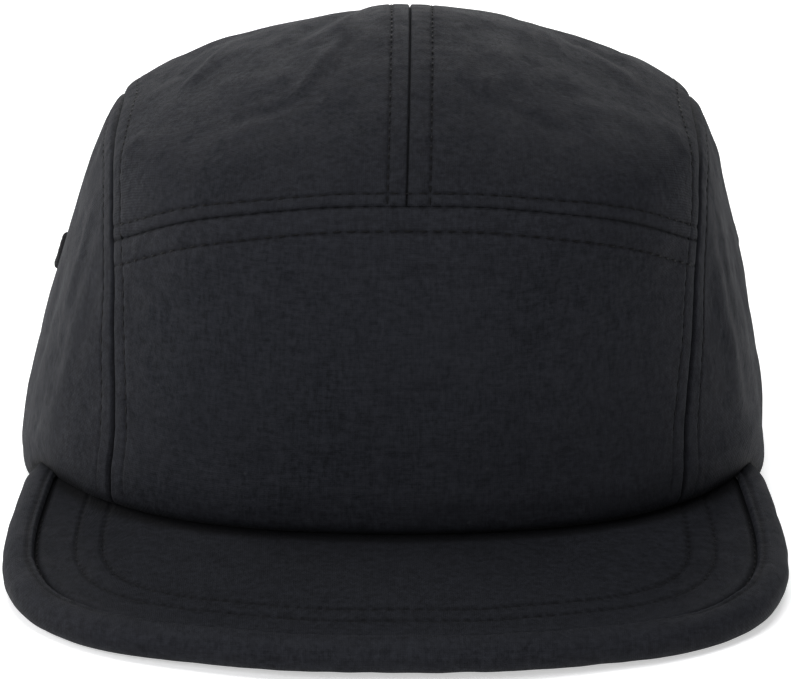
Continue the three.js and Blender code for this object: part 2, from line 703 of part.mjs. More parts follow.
const cap = new THREE.Group();
cap.name = 'sports_cap';
function add(name, geometry, look) {
  const flat = geometry.index ? geometry.toNonIndexed() : geometry;
  flat.computeVertexNormals();
  const mesh = new THREE.Mesh(flat, new THREE.MeshStandardMaterial(look));
  mesh.name = name;
  cap.add(mesh);
}

add('front_panel', frontPanel, cloth);
add('top_panel_left', topPanel(-1), cloth);
add('top_panel_right', topPanel(1), cloth);
add('side_panel_left', punched(-1), cloth);
add('side_panel_right', punched(1), cloth);
add('peak', board(), cloth);
add('peak_binding', binding(), cloth);
add('sweatband', sweatband(), band);
add('back_strap', strap(), webbing);
add('strap_slider', slider(), plastic);
add('eyelet_left', eyelet(-1), thread);
add('eyelet_right', eyelet(1), thread);

// The frame's origin is the middle of the whole cap's footprint
const box = new THREE.Box3().setFromObject(cap);
const shift = box.getCenter(new THREE.Vector3()).setZ(box.min.z).negate();
for (const mesh of cap.children) mesh.geometry.translate(shift.x, shift.y, shift.z);

export default cap;
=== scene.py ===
import math

import bmesh
import bpy
import numpy as np
from mathutils import Matrix, Quaternion, Vector, noise


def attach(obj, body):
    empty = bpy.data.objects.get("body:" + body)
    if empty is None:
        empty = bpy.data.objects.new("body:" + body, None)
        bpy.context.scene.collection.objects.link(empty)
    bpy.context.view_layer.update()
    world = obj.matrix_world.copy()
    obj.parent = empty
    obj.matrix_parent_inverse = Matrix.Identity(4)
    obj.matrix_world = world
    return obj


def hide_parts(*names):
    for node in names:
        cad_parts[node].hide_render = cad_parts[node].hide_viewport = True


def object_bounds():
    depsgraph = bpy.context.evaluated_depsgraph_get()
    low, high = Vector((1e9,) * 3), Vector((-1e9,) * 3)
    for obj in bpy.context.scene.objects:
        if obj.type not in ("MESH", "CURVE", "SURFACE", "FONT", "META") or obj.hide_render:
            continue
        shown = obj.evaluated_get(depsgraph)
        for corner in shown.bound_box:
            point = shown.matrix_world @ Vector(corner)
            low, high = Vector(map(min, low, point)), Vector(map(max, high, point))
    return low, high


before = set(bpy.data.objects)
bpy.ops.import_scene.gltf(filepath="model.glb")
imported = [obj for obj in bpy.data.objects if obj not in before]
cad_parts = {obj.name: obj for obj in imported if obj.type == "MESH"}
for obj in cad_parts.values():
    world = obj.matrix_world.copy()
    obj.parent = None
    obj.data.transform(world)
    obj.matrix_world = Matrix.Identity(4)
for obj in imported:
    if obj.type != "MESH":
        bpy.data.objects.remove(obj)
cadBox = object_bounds()
bpy.ops.object.select_all(action="DESELECT")
print("frame loaded")

# Lengths in the settings are millimetres, measured from the crown's own middle on the table.
mm = 0.001
sides = (("left", -1), ("right", 1))

# how many points the lines are drawn with
samples = {"levels": 1201, "rim": 1441, "seam": 241, "arc": 181, "centre": 121, "spots": 420, "edge": 901,
           "steps": 2001, "girth": 721, "angles": 145, "rows": 111}

crownShape = {
    "lean": 0.034,
    "leanLevel": 22,
    "girthLevel": 22,
    "wall": 1.6,
    "openingHalf": 31,
    "openingHeight": 38,
    # height, half width, reach to the front, reach to the back, squareness
    "sections": [
        (0, 82.2, 84.5, 98.5, 0.045),
        (7, 84, 86.5, 101.5, 0.045),
        (22, 82.6, 86.5, 102.5, 0.045),
        (42, 78.4, 85.5, 101, 0.05),
        (60, 73.6, 83.5, 93.5, 0.055),
        (74, 69.4, 81, 80, 0.06),
        (83, 65, 76.5, 66, 0.055),
        (89.5, 53.8, 68.5, 52.5, 0.04),
        (95.5, 39.2, 55.5, 38.5, 0.025),
        (101.2, 23.6, 36.5, 25, 0.01),
        (104.8, 9.5, 16, 11, 0),
        (105.8, 0, 0, 0, 0),
    ],
    # angle from the front, height, how much further round on the right
    "sideSeam": [(44, 0, 0), (47.5, 30, 1.1), (52.4, 50, 1.4), (58.6, 66, 1.3), (68.5, 78, 0.8),
                 (82, 82.5, 0), (98, 83.2, 0), (115, 79, 0), (130, 69, 0), (141, 55, 0), (148, 38, 0),
                 (152, 17, 0), (153.5, 0, 0)],
    "archEnd": 3,
    "archSeam": [(0, 83.4, 0), (20, 82.1, 0.4), (40, 76.6, 0.9), (58.6, 66, 1.3)],
}

peakShape = {
    "root": 86.5,
    "drop": math.tan(math.radians(4.1)),
    "arch": 800,
    "board": 3.2,
    "bindingWidth": 6.7,
    "bindingTop": 3,
    "bindingUnder": 4.4,
    "bindingSlot": 5,
    # half width, reach in front of the root
    "outline": [(0, 61), (20, 60), (40, 54.8), (58, 47.4), (71, 37.4), (80, 24.2), (84.5, 8.5), (85.4, -5),
                (85, -18), (83.2, -38), (81.8, -49), (78.6, -58)],
    # the crown's lower edge: its height over the board and over the puffy edge, by angle
    "seat": 0.35,
    "bindingSeat": 1.8,
    "seatLevel": 8.0,
    "seatFrom": 51,
    "seatTo": 57.5,
    "liftEnd": 63,
    "restFrom": 84,
    "endFlat": 0.45,
    "flatFrom": 8.8,
    "flatOver": 1.6,
}

shiftY = cadBox[0][1] / mm + peakShape["root"] + peakShape["outline"][0][1]


def toFrame(points):
    return (np.asarray(points, float) + (0, shiftY, 0)) * mm


def ease(f):
    f = np.clip(f, 0, 1)
    return f * f * (3 - 2 * f)


def bell(distance, width):
    return np.exp(-(distance / width) ** 2)


def unit(vectors):
    return vectors / np.linalg.norm(vectors, axis=-1, keepdims=True)


def lengths(points):
    return np.concatenate([[0], np.cumsum(np.linalg.norm(np.diff(points, axis=0), axis=1))])


def lineAt(line, run, want):
    # points of a line at the given lengths along it
    return np.stack([np.interp(want, run, column) for column in line.T], -1)


def withHeight(flat, z):
    return np.concatenate([flat, z[..., None]], -1)


def alongTable(table, u, beyond=None, half=False):
    # smooth values of every column at a fractional row; a half table is mirrored over its first row
    t = np.asarray(table, float)
    before = t[1] * np.where(np.arange(t.shape[1]) == 0, -1, 1) if half else 2 * t[0] - t[1]
    rows = np.vstack([before, t, 2 * t[-1] - t[-2] if beyond is None else beyond])
    u = np.clip(np.asarray(u, float), 0, len(t) - 1 - 1e-9)
    i = np.floor(u).astype(int)
    f = (u - i)[..., None]
    p0, p1, p2, p3 = rows[i], rows[i + 1], rows[i + 2], rows[i + 3]
    return 0.5 * (2 * p1 + (p2 - p0) * f + (2 * p0 - 5 * p1 + 4 * p2 - p3) * f ** 2
                  + (3 * p1 - p0 - 3 * p2 + p3) * f ** 3)


sections = np.array(crownShape["sections"], float)
topRow = len(sections) - 1
overTop = sections[-2] * (1, -1, -1, -1, 1)
levelRows = np.linspace(0, topRow, samples["levels"])
levelHeights = np.maximum.accumulate(alongTable(sections, levelRows, overTop)[:, 0])


def rowOfHeight(height):
    return np.interp(height, levelHeights, levelRows)


def crown(angle, row):
    s = alongTable(sections, row, overTop)
    fat = 1 + s[..., 4] * np.sin(2 * angle) ** 2
    reach = np.where(np.cos(angle) > 0, s[..., 2], s[..., 3])
    lean = crownShape["lean"] * (s[..., 0] - crownShape["leanLevel"])
    return np.stack([s[..., 1] * fat * np.sin(angle) + lean, -reach * fat * np.cos(angle), s[..., 0]], -1)


def peakForm(x, y):
    return (y + peakShape["root"]) * peakShape["drop"] - x ** 2 / (2 * peakShape["arch"])


def outlineAt(along, inset):
    # along runs from one end of the outline (-) to the other (+), inset is measured in from the edge
    along = np.asarray(along, float)
    side = np.where(along < 0, -1.0, 1.0)

    def at(u):
        r = alongTable(peakShape["outline"], np.abs(u), half=True)
        return np.stack([np.sign(u) * r[..., 0], -peakShape["root"] - r[..., 1]], -1)

    p = at(along)
    step = 0.01 * side
    t = at(along + step) - at(along - step)
    t *= side[..., None] / np.linalg.norm(t, axis=-1, keepdims=True)
    inset = np.asarray(inset, float)
    return np.stack([p[..., 0] - t[..., 1] * inset, p[..., 1] + t[..., 0] * inset], -1)


def bindingLine(count):
    # the puffy edge's section, from its seam on top round to its seam below
    w, top, under = peakShape["bindingWidth"], peakShape["bindingTop"], peakShape["bindingUnder"]
    corners = [(w + 0.12, 1.45), (w + 0.05, 2.0), (w - 0.7, 2.8), (4.2, top), (2.2, 2.6), (0.8, 1.6),
               (0.15, 0.5), (0, -0.6), (0.2, -1.8), (0.9, -3), (2.3, -4), (4.3, -under), (w - 0.5, -3.8),
               (w + 0.05, -2.4), (w + 0.12, -1.45)]
    return alongTable(corners, np.linspace(0, len(corners) - 1, count))


outlineEnd = len(peakShape["outline"]) - 1
edgeSection = bindingLine(40)
edgeProbe = outlineAt(np.linspace(0.001, outlineEnd, 200)[:, None], edgeSection[None, :, 0])
edgeLevels = peakForm(edgeProbe[..., 0], edgeProbe[..., 1]) + edgeSection[:, 1]
rootLevel = peakShape["board"] / 2 - edgeLevels.min()
edgeAlong = np.linspace(-outlineEnd, outlineEnd, samples["edge"])
edgeSpots = withHeight(outlineAt(edgeAlong, 0), 0 * edgeAlong)
edgeRun = lengths(edgeSpots)


def peakTop(x, y):
    return rootLevel + peakForm(x, y)


def boardMiddle(flat):
    return peakTop(flat[..., 0], flat[..., 1]) - peakShape["board"] / 2


def endFlat(along):
    # the puffy edge is pressed flatter where it goes in under the crown
    return 1 - peakShape["endFlat"] * ease((np.abs(along) - peakShape["flatFrom"]) / peakShape["flatOver"])


def rimHeight(angle):
    p = peakShape
    a = np.abs(np.degrees(angle))
    sign = np.where(angle < 0, -1.0, 1.0)
    base = crown(sign * np.radians(np.minimum(a, p["liftEnd"])), rowOfHeight(p["seatLevel"] + 0 * a))
    f = ease((a - p["seatFrom"]) / (p["seatTo"] - p["seatFrom"]))
    seat = p["seat"] * (1 - f) + p["bindingSeat"] * f
    lift = 1 - ease((a - p["liftEnd"]) / (p["restFrom"] - p["liftEnd"]))
    return (peakTop(base[..., 0], base[..., 1]) + seat) * lift


rimAngles = np.radians(np.linspace(-180, 180, samples["rim"]))
rimRows = rowOfHeight(rimHeight(rimAngles))


# The crown is laid out on a disc: its rim is the circle of radius 1 and its top is the middle.
def onRim(angle):
    return np.stack([np.sin(angle), -np.cos(angle)], -1)


def toDisc(degrees, height):
    angle = np.radians(np.asarray(degrees, float))
    turned = (angle + math.pi) % (2 * math.pi) - math.pi
    r = (topRow - rowOfHeight(height)) / (topRow - np.interp(turned, rimAngles, rimRows))
    r = np.minimum(r, 1)
    return np.stack([r * np.sin(angle), -r * np.cos(angle)], -1)


def onCrown(disc):
    angle = np.arctan2(disc[..., 0], -disc[..., 1])
    r = np.minimum(1.02, np.hypot(disc[..., 0], disc[..., 1]))
    return crown(angle, topRow - r * (topRow - np.interp(angle, rimAngles, rimRows)))


def crownFrame(disc):
    # two directions on the cloth for a step on the disc, and the outward normal
    step = 0.002
    r = np.hypot(disc[..., 0], disc[..., 1])
    q = disc * np.minimum(1, (1 - 2 * step) / np.maximum(r, 1e-9))[..., None]
    dx, dy = ((onCrown(q + move) - onCrown(q - move)) / (2 * step) for move in ((step, 0), (0, step)))
    return dx, dy, unit(np.cross(dx, dy))


def lineLength(line):
    return lengths(onCrown(line))[-1]


def spaced(line, fractions):
    # points of a line on the disc at the given shares of its true length
    run = lengths(onCrown(line))
    return lineAt(line, run, np.asarray(fractions, float) * run[-1])


def seamLine(table, side, first=0, last=None):
    last = len(table) - 1 if last is None else last
    isArch = table is crownShape["archSeam"]
    r = alongTable(table, np.linspace(first, last, samples["seam"]), half=isArch)
    line = toDisc(side * r[:, 0] + max(side, 0) * r[:, 2], np.maximum(r[:, 1], 0))
    for end, row, rimEnd in ((0, first, 0), (-1, last, len(table) - 1)):
        if row == rimEnd and not isArch:
            line[end] /= np.linalg.norm(line[end])
    return line


def rimLine(first, last):
    return onRim(np.radians(np.linspace(first, last, samples["arc"])))


openingAngle = math.degrees(math.asin(crownShape["openingHalf"] / crownShape["sections"][1][3]))
backSeamAngle = crownShape["sideSeam"][-1][0]


def openingLine(side):
    t = np.linspace(0, math.pi / 2, samples["arc"])
    line = toDisc(side * (180 - openingAngle * np.sin(t)), crownShape["openingHeight"] * np.cos(t))
    line[-1] /= np.linalg.norm(line[-1])
    return line


centreLine = np.vstack([
    np.linspace(toDisc(0, crownShape["archSeam"][0][1]), (0, 0), samples["centre"]),
    np.linspace((0, 0), toDisc(180, crownShape["openingHeight"]), samples["centre"])[1:]])

seamLines = {"centre": centreLine}
for sideName, side in sides:
    seamLines["side_" + sideName] = seamLine(crownShape["sideSeam"], side)
    seamLines["arch_" + sideName] = seamLine(crownShape["archSeam"], side)
    seamLines["opening_" + sideName] = openingLine(side)
seamLines["arch"] = np.vstack([seamLines["arch_left"][::-1], seamLines["arch_right"][1:]])
seamSpots = {name: onCrown(spaced(line, np.linspace(0, 1, samples["spots"])))
             for name, line in seamLines.items()}


def nearLine(points, spots):
    # distance to a line in space, and how far along it
    flat = points.reshape(-1, 3)
    run = lengths(spots)
    gap, along = np.empty(len(flat)), np.empty(len(flat))
    chunk, skip = 4000, 3
    for start in range(0, len(flat), chunk):
        p = flat[start:start + chunk]
        near = ((p[:, None, :] - spots[None, ::skip, :]) ** 2).sum(-1).argmin(1) * skip
        best, place = np.full(len(p), np.inf), np.zeros(len(p))
        for k in range(-skip, skip):
            i = np.clip(near + k, 0, len(spots) - 2)
            a, b = spots[i], spots[i + 1]
            ab = b - a
            f = np.clip(((p - a) * ab).sum(1) / np.maximum((ab ** 2).sum(1), 1e-12), 0, 1)
            dist = np.linalg.norm(p - a - ab * f[:, None], axis=1)
            closer = dist < best
            best[closer] = dist[closer]
            place[closer] = (run[i] + f * (run[i + 1] - run[i]))[closer]
        gap[start:start + chunk] = best
        along[start:start + chunk] = place
    return gap.reshape(points.shape[:-1]), along.reshape(points.shape[:-1])


def ripple(points, size, seed):
    flat = points.reshape(-1, 3) / size
    values = [noise.noise(Vector((p[0] + seed, p[1], p[2] - seed))) for p in flat]
    return np.array(values).reshape(points.shape[:-1])


def rumple(points, kind):
    height, size, seed = kind
    return height * ripple(points, size, seed)


# Stitches: length and distance of each, and what lies beside a row of them
stitchRun = {"length": 2.3, "step": 3.1, "thick": 0.23, "lift": -0.03, "dive": 0.32, "slant": 0.14,
             "uneven": 0.12, "ahead": 0.8, "discEnd": 0.985,
             # how far from each end of a seam its rows stop
             "ends": {"centre": (0.6, 2.0), "arch": 4, "opening": (1, 0), "side": 1.5, "front": (3, 3)}}


def beat(along):
    # 1 between two stitches of a row, -1 in the middle of each
    return np.cos(2 * math.pi * along / stitchRun["step"])


def threadAt(along):
    return 0.5 - 0.5 * beat(along)


clothRelief = {
    # height, size and seed of the free rumples
    "wave": (0.75, 24.0, 3.7), "rumple": (0.28, 9.0, 11.3), "crumple": (0.08, 3.6, 29.1),
    "rowDepth": 0.42, "rowWidth": 0.42, "threadRise": 0.35,
    # painted shade along a stitch row, the share of it left between the stitches, and how much wider the
    # painted shade at a seam spreads than the groove
    "rowDark": 0.8, "rowPale": 0.4, "seamDark": 0.05,
    # puckers beside a row: their place and width as shares of the row's distance from the seam
    "pucker": 0.15, "puckerSize": 3.0, "puckerAt": 0.6, "puckerWide": 0.75, "puckerLong": 0.35,
    "plumpAt": 0.52, "plumpWide": 0.34,
    # the broad rumples are calmer near a seam
    "calm": 0.75, "calmReach": 6.5,
    # the two panels turn down into a seam; the cloth round it is drawn in, and doubled up to its row
    "seams": {
        "centre": {"depth": 0.75, "width": 0.20, "sink": 0.12, "plump": 0.08, "dark": 1.0, "dash": 0.0,
                   "row": 0.9},
        "arch": {"depth": 0.55, "width": 0.42, "sink": 0.10, "plump": 0.10, "dark": 0.9, "dash": 0.5,
                 "row": 0.9},
        "side": {"depth": 1.1, "width": 0.54, "sink": 0.15, "plump": 0.10, "dark": 1.0, "dash": 0.0,
                 "row": 0.5},
        "opening": {"depth": 0.0, "width": 0.40, "sink": 0.0, "plump": 0.15, "dark": 0.0, "dash": 0.0,
                    "row": 1.0},
    },
    "seamSpread": 5.0,
    # the lower edge bulges a little, then turns under towards the peak, up to some angle from the front
    "bulge": 0.9, "bulgeAt": 7.0, "bulgeSpread": 5.5,
    "tuck": 2.6, "tuckHeight": 3.4, "hem": 0.5, "hemHeight": 1.6,
    "tuckEnd": 66, "deepEnd": 40, "tuckFade": 24, "shallow": 0.25,
    # from angle and height, to angle and height, width, depth: drawn out (+) or pressed in (-)
    "creases": [
        (-118, 103.5, -58, 102.6, 1.8, 0.7), (-62, 102.6, -44, 97.4, 2.0, 0.75),
        (-160, 100, -70, 99, 3.6, -1.0), (-112, 94.6, -79, 91.6, 2.0, 0.7),
        (-118, 91, -92, 88, 2.6, -0.5), (69, 102, 48, 97, 3.0, 0.4), (92, 104.2, 45, 102.9, 1.7, 0.4),
        (44, 102.9, 27, 100, 1.8, 0.4), (112, 98.4, 78, 97, 1.9, 0.5), (104, 95, 80, 89, 3.2, 0.5),
        (118, 97, 96, 90, 4.2, -0.9), (-64, 66, -62, 24, 4.5, 0.8), (66, 66, 64, 24, 4.5, 0.8),
        (-78, 60, -84, 14, 7.0, -1.0), (80, 56, 86, 14, 7.0, -1.0), (162, 72, 144, 56, 8.0, -1.0),
        (-165, 68, -146, 52, 8.0, -1.0), (-96, 96, -80, 90, 2.6, 0.55), (-40, 97, -52, 92, 3.0, -0.5),
        (34, 97, 44, 92, 3.0, -0.45), (-70, 86, -63, 81, 2.4, 0.45), (72, 86, 64, 81, 2.4, 0.45),
        (90, 92, 70, 88, 2.6, 0.5), (-72, 70, -69, 40, 3.0, 0.5), (74, 68, 71, 40, 3.0, 0.45),
        (-100, 74, -97, 58, 3.2, -0.4), (-90, 78, -86, 66, 3.0, 0.4), (96, 76, 92, 62, 3.0, 0.4),
        (130, 96, 118, 88, 4.0, 0.6), (-134, 94, -120, 87, 4.0, 0.6), (150, 86, 136, 74, 5.0, 0.6),
        (-152, 84, -138, 72, 5.0, 0.6), (170, 62, 160, 44, 4.0, 0.5), (-172, 60, -161, 44, 4.0, 0.5),
        (-120, 40, -112, 14, 5.0, -0.5), (122, 42, 112, 14, 5.0, -0.5), (-136, 30, -130, 10, 4.0, 0.4),
        (136, 30, 130, 10, 4.0, 0.4), (152, 96, 112, 102.4, 6.0, 0.5), (158, 104.2, 108, 104.8, 4.0, 0.45),
        (-134, 103.6, -84, 104.4, 4.0, -0.6),
    ],
    "creasePoints": 24, "creaseReach": 2.6,
}

creaseSpots = []
for a, h, toA, toH, width, depth in clothRelief["creases"]:
    line = np.linspace(toDisc(a, h), toDisc(toA, toH), clothRelief["creasePoints"])
    creaseSpots.append((onCrown(line), width, depth))


def broadRelief(points):
    # what the whole thickness of the cloth follows
    rise = rumple(points, clothRelief["wave"])
    rise += rumple(points, clothRelief["rumple"])
    for spots, width, depth in creaseSpots:
        reach = clothRelief["creaseReach"] * width
        low, high = spots.min(0) - reach, spots.max(0) + reach
        inside = ((points > low) & (points < high)).all(-1)
        if not inside.any():
            continue
        gap, along = nearLine(points[inside], spots)
        f = along / lengths(spots)[-1]
        rise[inside] += depth * bell(gap, width) * np.sin(math.pi * (0.1 + 0.8 * f))
    return rise


def clothHeights(points, rows):
    # rows: seam name -> how far from it this panel's stitch row runs
    relief = clothRelief
    broad = broadRelief(points)
    fine = rumple(points, relief["crumple"])
    shape = points.shape[:-1]
    calm, nearest = np.ones(shape), np.full(shape, 99.0)
    groove, sink, plump, stitched, dark = (np.zeros(shape) for _ in range(5))
    for name, row in rows.items():
        style = relief["seams"][name.split("_")[0]]
        gap, along = nearLine(points, seamSpots[name])
        thread = threadAt(along)
        pull = 1 - style["dash"] * (1 - thread)
        line = bell(gap - row, relief["rowWidth"])
        pale = relief["rowPale"] * style["row"]
        rowDepth = style["row"] * relief["rowDepth"] * line * (1 - relief["threadRise"] * thread)
        calm *= 1 - relief["calm"] * bell(gap, relief["calmReach"])
        groove = np.maximum(groove, style["depth"] * bell(gap, style["width"]) * pull)
        sink = np.maximum(sink, style["sink"] * bell(gap, relief["seamSpread"]))
        plump = np.maximum(plump, style["plump"] * bell(gap - row * relief["plumpAt"],
                                                        row * relief["plumpWide"]))
        stitched = np.maximum(stitched, rowDepth)
        # painted shade in the seam's groove, and along the row the dark thread with painted shade in the
        # row's groove
        dark = np.maximum(dark, style["dark"] * bell(gap, style["width"] + relief["seamDark"]) * pull)
        dark = np.maximum(dark, relief["rowDark"] * line * (pale + (1 - pale) * thread))
        drawn = np.stack([along, gap * relief["puckerLong"], 0 * gap], -1)
        tug = ripple(drawn, relief["puckerSize"], 5.0 + len(name))
        fine += relief["pucker"] * bell(gap - row * relief["puckerAt"], row * relief["puckerWide"]) * tug
        nearest = np.minimum(nearest, gap)
    fine += plump - sink - np.maximum(groove, stitched)
    return broad * calm, fine, nearest, dark


def turnedIn(rise, height):
    # a quarter circle: 1 at the lower edge, 0 from this height up
    return 1 - np.sqrt(1 - np.clip(1 - rise / height, 0, 1) ** 2)


def underEdge(angle, rise):
    # how the cloth stands out from the form near its lower edge, by the height over that edge
    relief = clothRelief
    away = np.abs(np.degrees(angle))
    over, deep = (1 - ease((away - relief[end]) / relief["tuckFade"]) for end in ("tuckEnd", "deepEnd"))
    deep = relief["shallow"] + (1 - relief["shallow"]) * deep
    out = over * relief["bulge"] * bell(rise - relief["bulgeAt"], relief["bulgeSpread"])
    return (out - over * deep * relief["tuck"] * turnedIn(rise, relief["tuckHeight"])
            - (1 - over) * relief["hem"] * turnedIn(rise, relief["hemHeight"]))


def addToScene(name, data):
    thing = bpy.data.objects.new(name, data)
    bpy.context.scene.collection.objects.link(thing)
    return thing


def meshObject(name, points, faces, uv=None, **masks):
    mesh = bpy.data.meshes.new(name)
    mesh.from_pydata(points.tolist(), [], faces.tolist() if isinstance(faces, np.ndarray) else faces)
    loopVerts = np.empty(len(mesh.loops), int)
    mesh.loops.foreach_get("vertex_index", loopVerts)
    if uv is not None:
        layer = mesh.uv_layers.new(name="cloth")
        layer.data.foreach_set("uv", uv[loopVerts].astype(np.float32).ravel())
    for label, values in masks.items():
        attribute = mesh.attributes.new(label, "FLOAT", "POINT")
        attribute.data.foreach_set("value", values.astype(np.float32))
    mesh.validate()
    mesh.update()
    return addToScene(name, mesh)


def gridFaces(rows, cols, offset=0, turned=False):
    i, j = np.meshgrid(np.arange(rows - 1), np.arange(cols - 1), indexing="ij")
    a = (i * cols + j).ravel() + offset
    quads = np.stack([a, a + 1, a + cols + 1, a + cols], -1)
    return quads[:, ::-1] if turned else quads


def closedSheet(name, outer, inner, uv, seamGap, seamDark=None):
    # a sheet with a wall, from two grids of points; its last mask is painted shade
    rows, cols = outer.shape[:2]
    half = rows * cols
    edge = np.concatenate([np.arange(cols - 1), np.arange(rows - 1) * cols + cols - 1,
                           half - 1 - np.arange(cols - 1), (rows - 1 - np.arange(rows - 1)) * cols])
    after = np.roll(edge, -1)
    wall = np.stack([edge, edge + half, after + half, after], -1)
    points = np.concatenate([outer.reshape(-1, 3), inner.reshape(-1, 3)])
    faces = np.concatenate([gridFaces(rows, cols), gridFaces(rows, cols, half, True), wall])
    quad = points[faces]
    first, across, last = (quad[:, k] - quad[:, 0] for k in (1, 2, 3))
    cross = np.cross(first, across) + np.cross(across, last)
    if (quad.mean(1) * cross).sum() < 0:
        faces = faces[:, ::-1]
    seamDark = 0 * seamGap if seamDark is None else seamDark
    return meshObject(name, points, faces, np.concatenate([uv, uv]).reshape(-1, 2),
                      seamGap=np.tile(seamGap.ravel(), 2), seamDark=np.tile(seamDark.ravel(), 2))


def patch(bottom, top, left, right):
    # a grid on the disc that fills four lines
    rows, cols = len(left), len(bottom)
    t = np.linspace(0, 1, rows)[:, None, None]
    s = np.linspace(0, 1, cols)[None, :, None]
    grid = bottom[None] * (1 - t) + top[None] * t + left[:, None] * (1 - s) + right[:, None] * s
    grid -= bottom[0] * (1 - s) * (1 - t) + bottom[-1] * s * (1 - t) + top[0] * (1 - s) * t + top[-1] * s * t
    return grid


def evenUv(points):
    # cloth coordinates in metres, measured along the threads from the middle of the piece
    uv = []
    for axis in (1, 0):
        steps = np.linalg.norm(np.diff(points, axis=axis), axis=-1)
        run = np.insert(np.cumsum(steps, axis=axis), 0, 0, axis=axis)
        uv.append(run - np.take(run, [points.shape[axis] // 2], axis=axis))
    return np.stack(uv, -1) * mm


panelCloth = {
    # the grid's step beside a seam and away from it, and how wide the fine strips are
    "fine": 0.30, "coarse": 0.95, "zone": 7.5, "rimZone": 2.8, "fade": 7.0,
    # near the lower edge the rumples die down, and painted shade darkens the cloth
    "rise": 5, "rimShare": 0.25, "rimShade": 1.6,
    "innerShare": 0.4, "least": 0.45,
    # the wall leans a little, so it is longer than it is high
    "wallLength": 1.03,
    # the edge comes down on the peak, up to an angle from the front
    "seatEnd": 65, "seatFade": 6, "seatGap": 0.15, "seatReach": 4,
    # distances of the stitch rows from their seams
    "sideRow": 4.4, "rowAbove": 3.2, "rowBelow": 5.8, "openingRow": 3.4,
    "centreRow": {"left": 4.2, "right": 5.0},
}


def seamSteps(line, startZone, endZone):
    # shares of a line, in small steps beside a seam and its stitch row, wider ones away from them
    cloth = panelCloth
    length = lineLength(line)
    x = np.linspace(0, length, samples["steps"])
    size = 0 * x + cloth["coarse"]
    for zone, away in ((cloth[startZone], x), (cloth[endZone], length - x)):
        size = np.minimum(size, cloth["fine"] + (cloth["coarse"] - cloth["fine"])
                          * ease((away - zone) / cloth["fade"]))
    run = np.concatenate([[0], np.cumsum(1 / size[1:] * np.diff(x))])
    count = int(round(run[-1]))
    return np.interp(np.linspace(0, run[-1], count + 1), run, x / length)


# distance in from the peak's outline, and the height of the puffy edge's cloth there
edgeCover = [[0, 0.2, 0.8, 2.2, 4.2, 6.0, 6.7, 7.4], [-0.6, 0.6, 1.6, 2.6, 3.0, 2.8, 2.1, 1.6]]
coverEnd = 7


def seatUnder(points):
    # height of the peak's covered edge under a point of the crown's lower edge
    gap, run = nearLine(points * (1, 1, 0), edgeSpots)
    up = np.interp(gap, *edgeCover)
    up = np.where(gap < coverEnd, up * endFlat(np.interp(run, edgeRun, edgeAlong)), up)
    return boardMiddle(points) + up


perimeter = np.radians(np.linspace(-180, 180, samples["girth"]))
perimeterRun = lengths(crown(perimeter, rowOfHeight(crownShape["girthLevel"] + 0 * perimeter)))
downAngles = np.radians(np.linspace(-180, 180, samples["angles"]))
downRows = np.linspace(topRow, 0, samples["rows"])
downRun = np.stack([lengths(crown(a + 0 * downRows, downRows)) for a in downAngles])


def runDown(angle, row):
    # length on the crown from its top down to a point
    i = np.interp(angle, downAngles, np.arange(len(downAngles)))
    j = np.interp(-row, -downRows, np.arange(len(downRows)))
    a, b = np.minimum(i.astype(int), len(downAngles) - 2), np.minimum(j.astype(int), len(downRows) - 2)
    i, j = i - a, j - b
    return ((downRun[a, b] * (1 - j) + downRun[a, b + 1] * j) * (1 - i)
            + (downRun[a + 1, b] * (1 - j) + downRun[a + 1, b + 1] * j) * i)


def panelUv(name, points, angle):
    # the top panels are laid flat round the top; the threads of the others run up and down
    if name.startswith("top"):
        lean = crownShape["lean"] * (points[..., 2] - crownShape["leanLevel"])
        flat = points[..., :2] - np.stack([lean, 0 * angle], -1)
        flat /= np.maximum(np.linalg.norm(flat, axis=-1, keepdims=True), 1e-6)
        return flat * runDown(angle, rowOfHeight(points[..., 2]))[..., None] * mm
    up = panelCloth["wallLength"] * points[..., 2]
    return np.stack([np.interp(angle, perimeter, perimeterRun), up], -1) * mm


def clothPanel(name, bottom, top, left, right, rows):
    cloth = panelCloth
    grid = patch(bottom, top, left, right)
    base = onCrown(grid)
    _, _, normal = crownFrame(grid)
    broad, fine, nearest, dark = clothHeights(base, rows)
    angle = np.arctan2(grid[..., 0], -grid[..., 1])
    rim = crown(angle, np.interp(angle, rimAngles, rimRows))[..., 2]
    rise = np.maximum(base[..., 2] - rim, 0)
    level = 1 - bell(rise, cloth["rise"])
    high = (broad + fine) * (cloth["rimShare"] + (1 - cloth["rimShare"]) * level) + underEdge(angle, rise)
    deep = np.minimum(cloth["innerShare"] * broad * level - crownShape["wall"], high - cloth["least"])
    outer = base + normal * high[..., None]
    inner = base + normal * deep[..., None]
    # the lower edge lies on the peak in front, and on the table behind it
    lowest = np.hypot(grid[..., 0], grid[..., 1]) > 0.9999
    seated = 1 - ease((np.abs(np.degrees(angle)) - cloth["seatEnd"]) / cloth["seatFade"])
    for wall in (outer, inner):
        wall[..., 2] = np.where(lowest, base[..., 2], wall[..., 2])
        if lowest[0].all():
            drop = (seatUnder(wall[0]) + cloth["seatGap"] - wall[0, :, 2]) * seated[0]
            wall[..., 2] += drop[None, :] * np.exp(-rise / cloth["seatReach"])
    # painted shade along the lower edge, where the crown tucks in over the peak
    dark = np.maximum(dark, bell(rise, cloth["rimShade"]))
    return closedSheet(name, toFrame(outer), toFrame(inner), panelUv(name, base, angle), nearest, dark)


